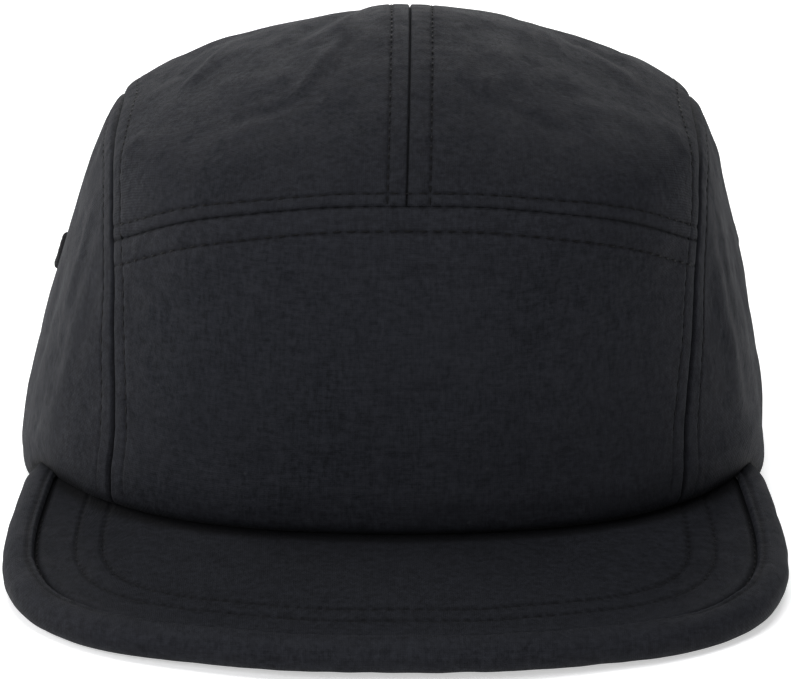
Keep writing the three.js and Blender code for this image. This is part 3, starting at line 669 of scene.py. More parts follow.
panels, panelRows, seams = {}, {}, {}
sideSeam, archEnd = crownShape["sideSeam"], crownShape["archEnd"]
lowerSteps = seamSteps(seamLine(sideSeam, 1, 0, archEnd), "rimZone", "zone")
archSteps = seamSteps(seamLines["arch_right"], "zone", "zone")
overSteps = seamSteps(seamLine(sideSeam, 1, archEnd), "zone", "zone")
sideTopCells = len(overSteps) - len(lowerSteps)
for sideName, side in sides:
    opening = openingLine(side)
    foot = rimLine(side * (180 - openingAngle), side * backSeamAngle)
    # the arched opening takes most of the back edge, its foot on the table the rest
    openShare = lineLength(opening) / (lineLength(opening) + lineLength(foot))
    seams[sideName] = {
        "lower": spaced(seamLine(sideSeam, side, 0, archEnd), lowerSteps),
        "over": spaced(seamLine(sideSeam, side, archEnd), overSteps),
        "arch": spaced(seamLines["arch_" + sideName], archSteps),
        "opening": spaced(np.vstack([opening, foot[1:]]), archSteps),
    }
    corner = np.abs(archSteps - openShare).argmin()
    seams[sideName]["opening"][corner] = opening[-1]
centre = spaced(centreLine, overSteps)

half = spaced(rimLine(0, sideSeam[0][0]), archSteps)
frontRim = np.vstack([half[::-1] * (-1, 1), half[1:]])
frontArch = np.vstack([seams["left"]["arch"][::-1], seams["right"]["arch"][1:]])
panelRows["front_panel"] = {"side_left": panelCloth["sideRow"], "side_right": panelCloth["sideRow"],
                            "arch": panelCloth["rowBelow"]}
panels["front_panel"] = clothPanel("frontPanel", frontRim, frontArch, seams["left"]["lower"],
                                   seams["right"]["lower"], panelRows["front_panel"])
for sideName, side in sides:
    s = seams[sideName]
    top, beside = "top_panel_" + sideName, "side_panel_" + sideName
    panelRows[top] = {"centre": panelCloth["centreRow"][sideName], "arch": panelCloth["rowAbove"],
                      "side_" + sideName: panelCloth["sideRow"],
                      "opening_" + sideName: panelCloth["openingRow"]}
    panelRows[beside] = {"side_" + sideName: panelCloth["sideRow"]}
    panels[top] = clothPanel("topPanel" + sideName.title(), s["arch"], s["opening"], centre, s["over"],
                             panelRows[top])
    upper = s["over"][:sideTopCells + 1]
    run = lengths(onCrown(upper))
    rim = spaced(rimLine(side * sideSeam[0][0], side * backSeamAngle), run / run[-1])
    panels[beside] = clothPanel("sidePanel" + sideName.title(), rim, upper, s["lower"],
                                s["over"][sideTopCells:][::-1], panelRows[beside])
print("crown panels made:", {k: len(p.data.polygons) for k, p in panels.items()})


# Eyelets: where the two vents sit on the side panels
eyeletSet = {
    "angle": {"left": -96, "right": 105}, "level": 47.2,
    # radius, height of the overcast ring: through the hole, over the collar and back to the cloth
    "profile": [(2.15, -1.75), (1.9, -1.2), (1.9, 0.1), (2.0, 0.45), (2.3, 0.72), (2.75, 0.86), (3.2, 0.86),
                (3.6, 0.74), (3.95, 0.54), (4.2, 0.26), (4.3, -0.05), (4.2, -0.4), (3.6, -0.5),
                (2.75, -0.55), (2.7, -1.75)],
    "punched": 2.75, "punchDepth": 14, "threads": 34, "perThread": 6, "ridge": 0.13, "uneven": 0.12,
    "slant": 0.05, "swellOut": 0.6, "swellIn": -0.25,
    # profile points from which, and up to which, the threads show, and where they rise or spread
    "shown": (2, 10), "raised": (3, 9), "spread": 7,
}


def panelHeightAt(panel, disc):
    # a point on the plain form, its outward normal, and the height of a panel's outer face over it
    points = onCrown(disc)
    broad, fine, _, _ = clothHeights(points, panelRows[panel])
    return points, crownFrame(disc)[2], broad + fine


def turnTo(normal):
    return Vector((0, 0, 1)).rotation_difference(Vector(normal)).to_matrix().to_4x4()


def activate(piece):
    bpy.ops.object.select_all(action="DESELECT")
    piece.select_set(True)
    bpy.context.view_layer.objects.active = piece


def applyAll(piece):
    activate(piece)
    for modifier in list(piece.modifiers):
        bpy.ops.object.modifier_apply(modifier=modifier.name)


def combine(piece, other, operation):
    # cuts the other piece out of this one, or joins it on, and removes it
    modifier = piece.modifiers.new("combine", "BOOLEAN")
    modifier.operation, modifier.solver, modifier.object = operation, "EXACT", other
    applyAll(piece)
    bpy.data.objects.remove(other)


def eyeletRing(sideName, side):
    disc = toDisc(eyeletSet["angle"][sideName], eyeletSet["level"])
    point, normal, rise = (v[0] for v in panelHeightAt("side_panel_" + sideName, disc[None]))
    place = Matrix.Translation(toFrame(point + normal * rise)) @ turnTo(normal)
    profile, count = eyeletSet["profile"], eyeletSet["threads"] * eyeletSet["perThread"]
    theta = np.arange(count) * 2 * math.pi / count
    thread = np.arange(count) / eyeletSet["perThread"]
    ridge = eyeletSet["ridge"] * (np.abs(np.cos(math.pi * thread)) - 0.5)
    uneven = np.array([noise.noise(Vector((k * 0.9, side * 4.0, 1.7))) for k in np.floor(thread + 0.5)])
    points = []
    for k, (radius, height) in enumerate(profile):
        shown, raised = (eyeletSet[part][0] <= k <= eyeletSet[part][1] for part in ("shown", "raised"))
        turn = theta + eyeletSet["slant"] * k
        swell = (ridge + eyeletSet["uneven"] * uneven) * shown
        r = radius + swell * eyeletSet["swellOut" if k > eyeletSet["spread"] else "swellIn"]
        points.append(np.stack([r * np.cos(turn), r * np.sin(turn), height + swell * raised], -1))
    i, j = np.meshgrid(np.arange(len(profile)), np.arange(count), indexing="ij")
    after, along = (i + 1) % len(profile), (j + 1) % count
    faces = np.stack([i * count + j, i * count + along, after * count + along, after * count + j], -1)
    piece = meshObject("eyelet" + sideName.title(), np.concatenate(points), faces.reshape(-1, 4))
    piece.data.transform(place @ Matrix.Scale(mm, 4))
    activate(piece)
    bpy.ops.object.mode_set(mode="EDIT")
    bpy.ops.mesh.select_all(action="SELECT")
    bpy.ops.mesh.normals_make_consistent(inside=False)
    bpy.ops.object.mode_set(mode="OBJECT")
    # the punched hole in the cloth under it
    bpy.ops.mesh.primitive_cylinder_add(vertices=40, radius=eyeletSet["punched"] * mm,
                                        depth=eyeletSet["punchDepth"] * mm)
    punch = bpy.context.object
    punch.matrix_world = place
    combine(panels["side_panel_" + sideName], punch, "DIFFERENCE")
    return piece


pieces = dict(panels)
for sideName, side in sides:
    pieces["eyelet_" + sideName] = eyeletRing(sideName, side)
print("eyelets sewn")


# Peak: a covered board with two stitch rows that follow its edge
peakCloth = {
    # columns along the peak and steps out from the crown; where they end on the outline and the crown
    "cols": 340, "steps": 104, "stepPower": 0.9, "boardEnd": 9.6, "inner": 62.3, "under": 4.3,
    "shoulder": 0.28, "tip": 0.2, "lip": 0.9, "underShare": 0.6,
    # height, size and seed of the free rumples; the broad ones begin inside the puffy edge
    "wave": (0.22, 30.0, 7.1), "crumple": (0.05, 5.0, 17.1), "waveFrom": 7.5, "waveFade": 8,
    # stitch rows: inset at the sides, how much further in at the front, where they end on the outline
    "rows": ((15.9, 0.9, 7.9), (21.1, 1.6, 7.5)), "rowLift": -0.08, "rowDepth": 0.34, "rowWidth": 0.5,
    "sideNarrow": 0.4, "betweenDark": 0.1, "threadRise": 0.35,
    "pucker": 0.12, "puckerSize": 3.4, "puckerWide": 2.6, "puckerLong": 0.3,
    # the groove beside the puffy edge with its painted shade, and the ridge inside it; shallower along the
    # front
    "groove": 7.1, "grooveWidth": 0.8, "grooveDepth": 0.85, "frontDepth": 0.4, "grooveDark": 0.7,
    "frontDark": 0.55, "ridge": 0.18, "ridgeAt": 1.9, "ridgeWidth": 1.2,
    "grooveRow": 0.35, "grooveEnd": 8.2, "grooveLift": 0.05,
    "fadeFrom": 48, "fadeTo": 74,
    # the shade where the crown is sewn on
    "shade": 0.36, "shadeReach": 20, "shadeFrom": 15, "shadeFade": 42, "rootFrom": 1, "rootReach": 2,
}


def sideways(points):
    # 0 along the front of the peak, 1 at its sides
    first, last = peakCloth["fadeFrom"], peakCloth["fadeTo"]
    return ease((np.abs(points[..., 0]) - first) / (last - first))


def peakHeights(flat, side):
    # flat: points in plan; side +1 for the top cloth, -1 for the under side
    cloth = peakCloth
    points = withHeight(flat, 0 * flat[..., 0])
    gap, along = nearLine(points, edgeSpots)
    height, size, seed = cloth["crumple"]
    rise = rumple(points, cloth["wave"]) * np.clip((gap - cloth["waveFrom"]) / cloth["waveFade"], 0, 1)
    rise += rumple(points, (height, size, seed * side))
    thread = threadAt(along)
    share = sideways(flat)
    fromGroove = gap - cloth["groove"]
    # painted shade in the groove beside the puffy edge; along the front it is dashed where the stitches lie
    dark = bell(fromGroove, cloth["grooveDark"]) * (cloth["frontDark"] * thread * (1 - share) + share)
    for row, further, _ in cloth["rows"]:
        beside = gap - row - further * (1 - share)
        line = bell(beside, cloth["rowWidth"])
        rise -= cloth["rowDepth"] * line * (1 - cloth["threadRise"] * thread)
        # along each row, the dark thread with painted shade in the row's groove
        shown = cloth["betweenDark"] + (1 - cloth["betweenDark"]) * thread
        dark = np.maximum(dark, bell(beside, 1 - cloth["sideNarrow"] * share) * shown)
        drawn = np.stack([along, gap * cloth["puckerLong"], 0 * gap], -1)
        tug = ripple(drawn, cloth["puckerSize"], 2.0 + row)
        rise += cloth["pucker"] * bell(beside, cloth["puckerWide"]) * tug
    depth = cloth["frontDepth"] + (cloth["grooveDepth"] - cloth["frontDepth"]) * share
    rise -= depth * bell(fromGroove, cloth["grooveWidth"])
    rise += cloth["ridge"] * bell(fromGroove - cloth["ridgeAt"], cloth["ridgeWidth"])
    return rise, dark


def coveredBoard():
    cloth, half = peakCloth, peakShape["board"] / 2
    far = np.linspace(-cloth["boardEnd"], cloth["boardEnd"], cloth["cols"])
    angle = np.radians(cloth["inner"] * far / cloth["boardEnd"])
    root = crown(angle, rowOfHeight(rimHeight(angle)))
    root = root[:, :2] - onRim(angle) * cloth["under"]
    shoulder = outlineAt(far, peakShape["bindingWidth"] + cloth["shoulder"])
    tip = outlineAt(far, peakShape["bindingSlot"] + cloth["tip"])
    f = np.linspace(0, 1, cloth["steps"]) ** cloth["stepPower"]
    flat = root[None] * (1 - f[:, None, None]) + shoulder[None] * f[:, None, None]
    top, dark = peakHeights(flat, 1)
    clear = f[:, None] * np.linalg.norm(shoulder - root, axis=-1)[None] - cloth["under"]
    clear = np.maximum(clear, 0)
    # painted shadow at the foot of the crown, and broader painted shade on the middle of the peak near it
    dark = np.maximum(dark, bell(np.maximum(clear - cloth["rootFrom"], 0), cloth["rootReach"]))
    middle = 1 - ease((np.abs(flat[..., 0]) - cloth["shadeFrom"]) / cloth["shadeFade"])
    dark = np.maximum(dark, cloth["shade"] * bell(clear, cloth["shadeReach"]) * middle)
    under, _ = peakHeights(flat, -1)
    mid, lip = boardMiddle(flat), withHeight(tip, boardMiddle(tip))
    outer = np.concatenate([withHeight(flat, mid + half + top), [lip + (0, 0, cloth["lip"])]])
    inner = np.concatenate([withHeight(flat, mid - half - cloth["underShare"] * under),
                            [lip - (0, 0, cloth["lip"])]])
    dark = np.concatenate([dark, dark[-1:]])
    return closedSheet("peakBoard", toFrame(outer), toFrame(inner), evenUv(outer), 9 + 0 * dark, dark)


pieces["peak"] = coveredBoard()


# Puffy edge round the peak, drawn in by its seam
edgeCloth = {
    "cell": 0.8, "around": 60, "girth": 22,
    # height, size, seed and how long they are round the section: the free swellings, and the tugs
    "swells": ((0.18, 6.0, 4.4, 0.5), (0.16, 17.0, 8.8, 0.35)), "pull": (0.20, 3.2, 2.2, 0.12),
    "beat": 0.10, "seamReach": 0.16, "endReach": 0.05, "table": 0.02,
    # the row of stitches on its top, and the ridge between that and the seam
    "rowAt": 5.3, "rowWidth": 0.5, "rowDepth": 0.30, "ridge": 0.16, "ridgeAt": 0.95, "ridgeWidth": 0.4,
    "frontShare": 0.25,
    # painted highlight along its shoulder and on the stitches in front, painted shade where it turns under
    "highlightAt": 6.3, "highlightGap": 1.3, "rowDark": 0.8, "underShade": ((0.25, 0.8), (0.5, -2.4)), "underShadeFade": 1.6,
}


def puffyEdge():
    cloth = edgeCloth
    line = bindingLine(cloth["around"])
    stations = np.linspace(0, edgeRun[-1], int(edgeRun[-1] / cloth["cell"]))
    along = np.interp(stations, edgeRun, edgeAlong)
    flat = outlineAt(along[:, None], line[None, :, 0])
    around = np.linspace(0, 1, len(line))
    onTop = line[:, 1] > 0
    a = np.stack(np.broadcast_arrays(stations[:, None], cloth["girth"] * around[None, :], 0.0), -1)
    first, second, tug = (rumple(a * (1, long, 1), (height, size, seed))
                          for height, size, seed, long in (*cloth["swells"], cloth["pull"]))
    nearSeam = bell(around, cloth["seamReach"]) + bell(1 - around, cloth["seamReach"])
    ends = np.clip(np.minimum(around, 1 - around) / cloth["endReach"], 0, 1)
    fromRow = line[:, 0] - cloth["rowAt"]
    inRow = bell(fromRow, cloth["rowWidth"]) * onTop
    inRidge = bell(fromRow - cloth["ridgeAt"], cloth["ridgeWidth"]) * onTop
    share = cloth["frontShare"] + (1 - cloth["frontShare"]) * sideways(flat)
    row = share * inRow[None, :]
    pulled = tug + cloth["beat"] * beat(stations)[:, None]
    rise = (first + second + pulled * nearSeam[None, :]) * ends[None, :]
    rise += cloth["ridge"] * share * inRidge[None, :] - cloth["rowDepth"] * row
    step = np.gradient(line, axis=0)
    out = unit(np.stack([step[:, 1], -step[:, 0]], -1))
    out *= np.sign((out * (line - (3.5, 0))).sum(-1)).mean()
    flatter = np.where(onTop[None, :], endFlat(along)[:, None], 1)
    up = line[None, :, 1] * flatter + rise * out[None, :, 1]
    flat = outlineAt(along[:, None], line[None, :, 0] + rise * out[None, :, 0])
    outer = withHeight(flat, np.maximum(boardMiddle(flat) + up, cloth["table"]))
    # the inner face closes the section through the slot of the board
    w, deep = peakShape["bindingWidth"] + 0.12, peakShape["bindingSlot"]
    slot = alongTable([(w, 1.40), (deep + 0.3, 1.25), (deep, 1.0), (deep - 0.1, 0), (deep, -1.0),
                       (deep + 0.3, -1.25), (w, -1.40)], np.linspace(0, 6, len(line)))
    flatIn = outlineAt(along[:, None], slot[None, :, 0])
    inner = withHeight(flatIn, boardMiddle(flatIn) + slot[None, :, 1])
    # painted highlight: the cloth turns paler where this gap is small, along the shoulder and on the front
    # stitches
    dash = threadAt(stations)[:, None] * (1 - sideways(flat))
    fromHighlight = np.abs(cloth["girth"] * around - cloth["highlightAt"])[None, :]
    gap = cloth["highlightGap"] + np.minimum(fromHighlight, 2 - 2 * dash * inRow[None, :])
    # painted shade where the cloth turns under, and along the stitch row on top with its dark thread
    underShade = sum(much * ease((level - line[:, 1]) / cloth["underShadeFade"]) for much, level in cloth["underShade"])
    return closedSheet("puffyEdge", toFrame(outer), toFrame(inner), evenUv(outer), gap,
                       np.maximum(cloth["rowDark"] * row, underShade[None, :]))


pieces["peak_binding"] = puffyEdge()
print("peak and its edge made")


# Sweatband and strap follow the crown's wall inside it
def insideWall(degrees, height, offset):
    angle = np.radians(degrees)
    row = rowOfHeight(height)
    t = crown(angle + 0.01, row) - crown(angle - 0.01, row)
    out = unit(np.stack([t[..., 1], -t[..., 0], 0 * t[..., 0]], -1))
    return crown(angle, row) - out * np.asarray(offset)[..., None]


sweatCloth = {
    "offset": 3.1, "thick": 1.2, "rise": 0.4, "height": 29, "end": 157, "cols": 380, "rows": 34,
    # it keeps clear of the strap's ends, and lies a little further in than its seam
    "past": 3.2, "pastFrom": 130, "pastFade": 10, "inward": 0.35,
    # the two stitch rows sink in, and the cloth above each is plumped: height, level, width
    "stitchRows": (2.4, 23.4), "rowWidth": 0.6, "rowDepths": (0.4, 0.35),
    "plumps": ((0.35, 6, 3), (0.3, 26, 2.5)), "rumple": (0.35, 9.0, 6.6),
    "rowIn": 0.35, "rowStart": 1.5, "rowStop": 1,
}


def bandWall(degrees, level, inset):
    # a point of the band by its angle and its height over the crown's edge, inset from its outer face
    past = sweatCloth["past"] * ease((np.abs(degrees) - sweatCloth["pastFrom"]) / sweatCloth["pastFade"])
    height = rimHeight(np.radians(degrees)) + sweatCloth["rise"] + level
    degrees, height, past = np.broadcast_arrays(degrees, height, past)
    return insideWall(degrees, height, sweatCloth["offset"] + inset + past)


def sweatbandPiece():
    cloth = sweatCloth
    angle = np.linspace(-cloth["end"], cloth["end"], cloth["cols"])[None, :]
    up = np.linspace(0, 1, cloth["rows"])[:, None]
    level = cloth["height"] * up
    outer, inner = bandWall(angle, level, 0), bandWall(angle, level, cloth["thick"])
    inward = unit(inner - outer)
    puff = sum(height * bell(level - at, width) for height, at, width in cloth["plumps"])
    for at, depth in zip(cloth["stitchRows"], cloth["rowDepths"]):
        puff = puff - depth * bell(level - at, cloth["rowWidth"])
    puff = puff + rumple(inner * (1, 1, 0.5), cloth["rumple"]) * np.sin(math.pi * up) ** 0.5
    inner = inner + inward * puff[..., None]
    outer, inner = outer + inward * cloth["inward"], inner + inward * cloth["inward"]
    gap = np.minimum(*[np.abs(level - at) for at in cloth["stitchRows"]]) + 0 * angle
    return closedSheet("sweatband", toFrame(outer), toFrame(inner), evenUv(inner), gap)


pieces["sweatband"] = sweatbandPiece()

strapWeb = {"offset": 3, "thick": 1.3, "low": 4.5, "wide": 20, "end": 144, "rib": 1.25, "ribRise": 0.10,
            "step": 0.36, "smoothing": 14, "across": 41, "trim": 0.05, "thin": 0.08,
            "selvedge": 0.93, "selvedgeThin": 0.75, "ribFade": 0.03,
            # it follows the wall up to some angle, then passes the bars of the slider at these distances
            "wallEnd": 170, "wallStep": 3.2, "before": 0.6, "within": 0.4}
sliderSet = {"bar": 4, "slot": 6.5, "rail": 2.8, "thick": 2.4, "play": 0.5, "corner": 2.4, "roundOver": 0.45,
             "clear": 0.35, "further": 1.2, "slotCorner": 0.8, "frame": 1.0, "sunk": 0.35, "sunkDepth": 0.3,
             "gripEnd": 8, "gripStep": 2, "grip": (3.2, 0.5, 0.9), "gripIn": 0.15, "gripRound": 0.18}
strapMid = strapWeb["low"] + strapWeb["wide"] / 2
sliderAt = insideWall(np.array(180.0), strapWeb["low"], strapWeb["offset"] + strapWeb["thick"] / 2
                      + sliderSet["thick"] / 2 + sliderSet["clear"] - sliderSet["further"])
weaveOut = sliderSet["thick"] / 2 + sliderSet["clear"] + strapWeb["thick"] / 2


def strapPiece():
    web, bar, slot = strapWeb, sliderSet["bar"], sliderSet["slot"]
    key = []
    for side in (-1, 1):
        part = [insideWall(np.array(side * a), web["low"], web["offset"] + web["thick"] / 2)[:2]
                for a in np.arange(web["end"], web["wallEnd"], web["wallStep"])]
        # inside the slider's outer bars, then out through its slots and over the middle one
        for x, y in ((bar * 1.5 + slot + web["before"], -weaveOut),
                     (bar / 2 + slot - web["within"], -weaveOut), (bar / 2 + web["within"], weaveOut)):
            part.append(np.array([sliderAt[0] + side * x, sliderAt[1] + y]))
        key += part if side < 0 else part[::-1]
    key = np.array(key)
    run = lengths(key)
    steps = np.linspace(0, run[-1], int(run[-1] / web["step"]))
    line = lineAt(key, run, steps)
    for _ in range(web["smoothing"]):
        line[1:-1] = (line[:-2] + 2 * line[1:-1] + line[2:]) / 4
    t = unit(np.gradient(line, axis=0))
    n = np.stack([-t[:, 1], t[:, 0]], -1)
    across = np.linspace(-1, 1, web["across"])
    z = strapMid + across * (web["wide"] / 2 - web["trim"])
    # rounded selvedges and ribs across the webbing
    beyond = np.clip((np.abs(across) - web["selvedge"]) / (1 - web["selvedge"]), 0, 1)
    half = (web["thick"] / 2 - web["thin"]) * (1 - web["selvedgeThin"] * beyond ** 2)
    ribs = web["ribRise"] * np.cos(2 * math.pi * steps / web["rib"])[:, None]
    ribs = ribs * np.clip((web["selvedge"] - np.abs(across)) / web["ribFade"], 0, 1)[None, :]
    outer, inner = (withHeight(line[:, None] + way * n[:, None] * (half[None, :] + way * ribs)[..., None],
                               z + 0 * ribs) for way in (1, -1))
    return closedSheet("backStrap", toFrame(outer), toFrame(inner), evenUv(outer), 9 + 0 * ribs)


pieces["back_strap"] = strapPiece()


def editParts(piece, kind, pick, operator, **values):
    # selects faces or edges by their place or normal and runs one edit-mode operator on them
    activate(piece)
    bpy.ops.object.mode_set(mode="EDIT")
    bpy.ops.mesh.select_mode(type=kind)
    bpy.ops.mesh.select_all(action="DESELECT")
    edit = bmesh.from_edit_mesh(piece.data)
    for part in edit.faces if kind == "FACE" else edit.edges:
        part.select_set(pick(part))
    if kind == "FACE":
        edit.select_flush_mode()
    bmesh.update_edit_mesh(piece.data)
    operator(**values)
    bpy.ops.object.mode_set(mode="OBJECT")


def bevelEdges(piece, pick, offset, segments):
    editParts(piece, "EDGE", pick, bpy.ops.mesh.bevel, offset=offset, segments=segments, affect="EDGES",
              profile=0.5)


def plainBox(name, size, place):
    bpy.ops.mesh.primitive_cube_add(size=1, location=place)
    piece = bpy.context.object
    piece.name = piece.data.name = name
    piece.scale = size
    bpy.ops.object.transform_apply(location=False, rotation=False, scale=True)
    return piece


def depthOf(edge):
    return abs((edge.verts[0].co - edge.verts[1].co).y)


def sliderPiece():
    make = sliderSet
    bar, slot, thick = make["bar"], make["slot"], make["thick"]
    hole = strapWeb["wide"] / 2 + make["play"]
    width, height = 2 * (bar * 1.5 + slot), 2 * (hole + make["rail"])
    place = toFrame(np.array([sliderAt[0], sliderAt[1], strapMid]))
    plate = plainBox("strapSlider", (width * mm, thick * mm, height * mm), place)
    bevelEdges(plate, lambda e: depthOf(e) > 0.9 * thick * mm, make["corner"] * mm, 6)
    # a shallow sunk field between the rails, front and back
    for way in (-1, 1):
        editParts(plate, "FACE", lambda f: f.normal.y * way > 0.9, bpy.ops.mesh.inset,
                  thickness=make["frame"] * mm, depth=0)
        editParts(plate, "FACE", lambda f: f.normal.y * way > 0.9
                  and abs(f.calc_center_median().x) < 2 * mm and f.calc_area() > 1e-4,
                  bpy.ops.mesh.inset, thickness=make["sunk"] * mm, depth=-make["sunkDepth"] * mm)
    for side in (-1, 1):
        at = place + np.array([side * (bar + slot) / 2 * mm, 0, 0])
        cutter = plainBox("slotCutter", (slot * mm, 9 * mm, 2 * hole * mm), at)
        bevelEdges(cutter, lambda e: depthOf(e) > 4 * mm, make["slotCorner"] * mm, 4)
        combine(plate, cutter, "DIFFERENCE")
    soften = plate.modifiers.new("soften", "BEVEL")
    soften.width, soften.segments = make["roundOver"] * mm, 3
    soften.limit_method, soften.angle_limit = "ANGLE", math.radians(40)
    soften.use_clamp_overlap = True
    applyAll(plate)
    # gripping ridges on the middle bar
    for z in np.arange(-make["gripEnd"], make["gripEnd"] + 0.1, make["gripStep"]):
        at = place + np.array([0, -(thick / 2 - make["gripIn"]) * mm, z * mm])
        ridge = plainBox("ridge", [size * mm for size in make["grip"]], at)
        bevelEdges(ridge, lambda e: True, make["gripRound"] * mm, 2)
        combine(plate, ridge, "UNION")
    activate(plate)
    bpy.ops.object.transform_apply(location=True, rotation=True, scale=True)
    bpy.ops.object.shade_smooth_by_angle(angle=math.radians(35))
    return plate


pieces["strap_slider"] = sliderPiece()
print("band, strap and slider made")


# Topstitching: one short stitch is modelled, then laid along every row
def oneStitch():
    bpy.ops.mesh.primitive_uv_sphere_add(segments=8, ring_count=6, radius=0.5)
    stitch = bpy.context.object
    activate(stitch)
    bpy.ops.object.mode_set(mode="EDIT")
    bpy.ops.mesh.select_all(action="SELECT")
    bpy.ops.transform.rotate(value=math.pi / 2, orient_axis="Y", center_override=(0, 0, 0))
    bpy.ops.transform.resize(value=(stitchRun["length"], 2 * stitchRun["thick"], 2 * stitchRun["thick"]))
    bpy.ops.object.mode_set(mode="OBJECT")
    points = np.array([v.co for v in stitch.data.vertices])
    # blunter ends that dive into the cloth
    x = points[:, 0] / (stitchRun["length"] / 2)
    points[:, 2] -= stitchRun["dive"] * np.abs(x) ** 3
    # sorted, as the sphere's faces come in a new order on each run
    faces = sorted(tuple(p.vertices) for p in stitch.data.polygons)
    bpy.data.objects.remove(stitch)
    return points, faces


stitchPoints, stitchFaces = oneStitch()


def layStitches(name, rows):
    # each row: places in millimetres on the cloth, directions along the row, and normals
    p, t, n = (np.concatenate(v) for v in zip(*rows))
    n = unit(n)
    t = unit(t - n * (t * n).sum(-1, keepdims=True))
    b = np.cross(n, t)
    wobble = np.array([noise.noise(Vector((k * 1.7, 3.1, 0.4))) for k in range(len(p))])
    t = t + b * (stitchRun["slant"] * wobble)[:, None]
    t = t * (1 + stitchRun["uneven"] * np.roll(wobble, 3))[:, None]
    x, y, z = (stitchPoints[None, :, k:k + 1] for k in range(3))
    points = p[:, None] + t[:, None] * x + b[:, None] * y + n[:, None] * (z + stitchRun["lift"])
    count = len(stitchPoints)
    faces = [tuple(v + k * count for v in f) for k in range(len(p)) for f in stitchFaces]
    return meshObject(name, toFrame(points.reshape(-1, 3)), faces)


def stitchMiddles(run):
    return np.arange(stitchRun["step"] / 2, run[-1], stitchRun["step"])


def crownRow(seam, panel, toward, firstGap=0.0, lastGap=0.0):
    # a row of stitches on one panel, beside a seam; toward: a disc point on the panel's side
    line, row = seamLines[seam], panelRows[panel][seam]
    run = lengths(onCrown(line))
    middles = stitchMiddles(run)
    middles = middles[(middles > firstGap) & (middles < run[-1] - lastGap)]
    behind, disc, ahead = (lineAt(line, run, middles + shift * stitchRun["ahead"]) for shift in (-1, 0, 1))
    tangent = unit(onCrown(ahead) - onCrown(behind))
    b = np.cross(crownFrame(disc)[2], tangent)
    b *= np.sign((b * (onCrown(np.asarray(toward, float)) - onCrown(disc))).sum(-1, keepdims=True))
    goal = onCrown(disc) + b * row
    spot = disc.copy()
    for _ in range(4):
        dx, dy, _ = crownFrame(spot)
        miss = goal - onCrown(spot)
        a11, a12, a22 = (dx * dx).sum(-1), (dx * dy).sum(-1), (dy * dy).sum(-1)
        r1, r2 = (dx * miss).sum(-1), (dy * miss).sum(-1)
        det = a11 * a22 - a12 ** 2
        spot = spot + np.stack([(a22 * r1 - a12 * r2) / det, (a11 * r2 - a12 * r1) / det], -1)
    keep = np.hypot(spot[:, 0], spot[:, 1]) < stitchRun["discEnd"]
    points, normal, rise = panelHeightAt(panel, spot)
    return (points + normal * rise[:, None])[keep], tangent[keep], normal[keep]


rows = []
frontSpot, rowEnds = (0.0, -0.75), stitchRun["ends"]
archHalf = lineLength(seamLines["arch"]) / 2
for sideName, side in sides:
    top, seam = "top_panel_" + sideName, "side_" + sideName
    topSpot, sideSpot = (0.35 * side, -0.1), (0.85 * side, -0.1)
    archGaps = (rowEnds["arch"], archHalf)[::-side]
    # the side seam's inner row lies on the front panel up to the arch, then on the top panel
    archRun = lineLength(seamLine(sideSeam, side, 0, archEnd))
    wholeRun = lineLength(seamLines[seam])
    rows += [crownRow("centre", top, topSpot, *rowEnds["centre"]),
             crownRow("arch", top, topSpot, *archGaps),
             crownRow("opening_" + sideName, top, topSpot, *rowEnds["opening"]),
             crownRow(seam, "front_panel", frontSpot, rowEnds["side"], wholeRun - archRun),
             crownRow(seam, top, topSpot, archRun, rowEnds["side"]),
             crownRow(seam, "side_panel_" + sideName, sideSpot, rowEnds["side"], rowEnds["side"])]
rows.append(crownRow("arch", "front_panel", frontSpot, *rowEnds["front"]))
pieces["crownStitches"] = layStitches("crownStitches", rows)


def peakRow(inset, further, end, up, side):
    along = np.linspace(-end, end, samples["edge"])
    spots = outlineAt(along, inset + further * (1 - sideways(outlineAt(along, inset))))
    run = lengths(spots)
    middles = stitchMiddles(run)
    flat, ahead = (lineAt(spots, run, middles + shift) for shift in (0, stitchRun["ahead"]))
    rise, _ = peakHeights(flat, side)

    def at(p, add):
        return withHeight(p, boardMiddle(p) + side * (peakShape["board"] / 2 + add + up))

    tangent = at(ahead, 0 * rise) - at(flat, 0 * rise)
    normal = np.stack([flat[:, 0] / peakShape["arch"], 0 * rise - peakShape["drop"], 0 * rise + 1], -1) * side
    return at(flat, rise if side > 0 else peakCloth["underShare"] * rise), tangent, normal


rows = []
for side in (1, -1):
    for inset, further, end in peakCloth["rows"]:
        rows.append(peakRow(inset, further, end, peakCloth["rowLift"], side))
    rows.append(peakRow(peakCloth["groove"] + peakCloth["grooveRow"], 0, peakCloth["grooveEnd"],
                        peakCloth["grooveLift"], side))
pieces["peakStitches"] = layStitches("peakStitches", rows)


def bandRow(level):
    last = sweatCloth["end"] - 1
    degrees = np.linspace(-last, last, samples["edge"])
    face = bandWall(degrees, level, sweatCloth["thick"] - sweatCloth["rowIn"])
    run = lengths(face)
    middles = np.arange(sweatCloth["rowStart"], run[-1] - sweatCloth["rowStop"], stitchRun["step"])
    behind, place, ahead = (lineAt(face, run, middles + shift * stitchRun["ahead"]) for shift in (-1, 0, 1))
    return place, ahead - behind, place - lineAt(bandWall(degrees, level, 0), run, middles)


pieces["bandStitches"] = layStitches("bandStitches", [bandRow(level) for level in sweatCloth["stitchRows"]])
print("stitches laid:", sum(len(pieces[k].data.polygons) for k in pieces if k.endswith("Stitches")))


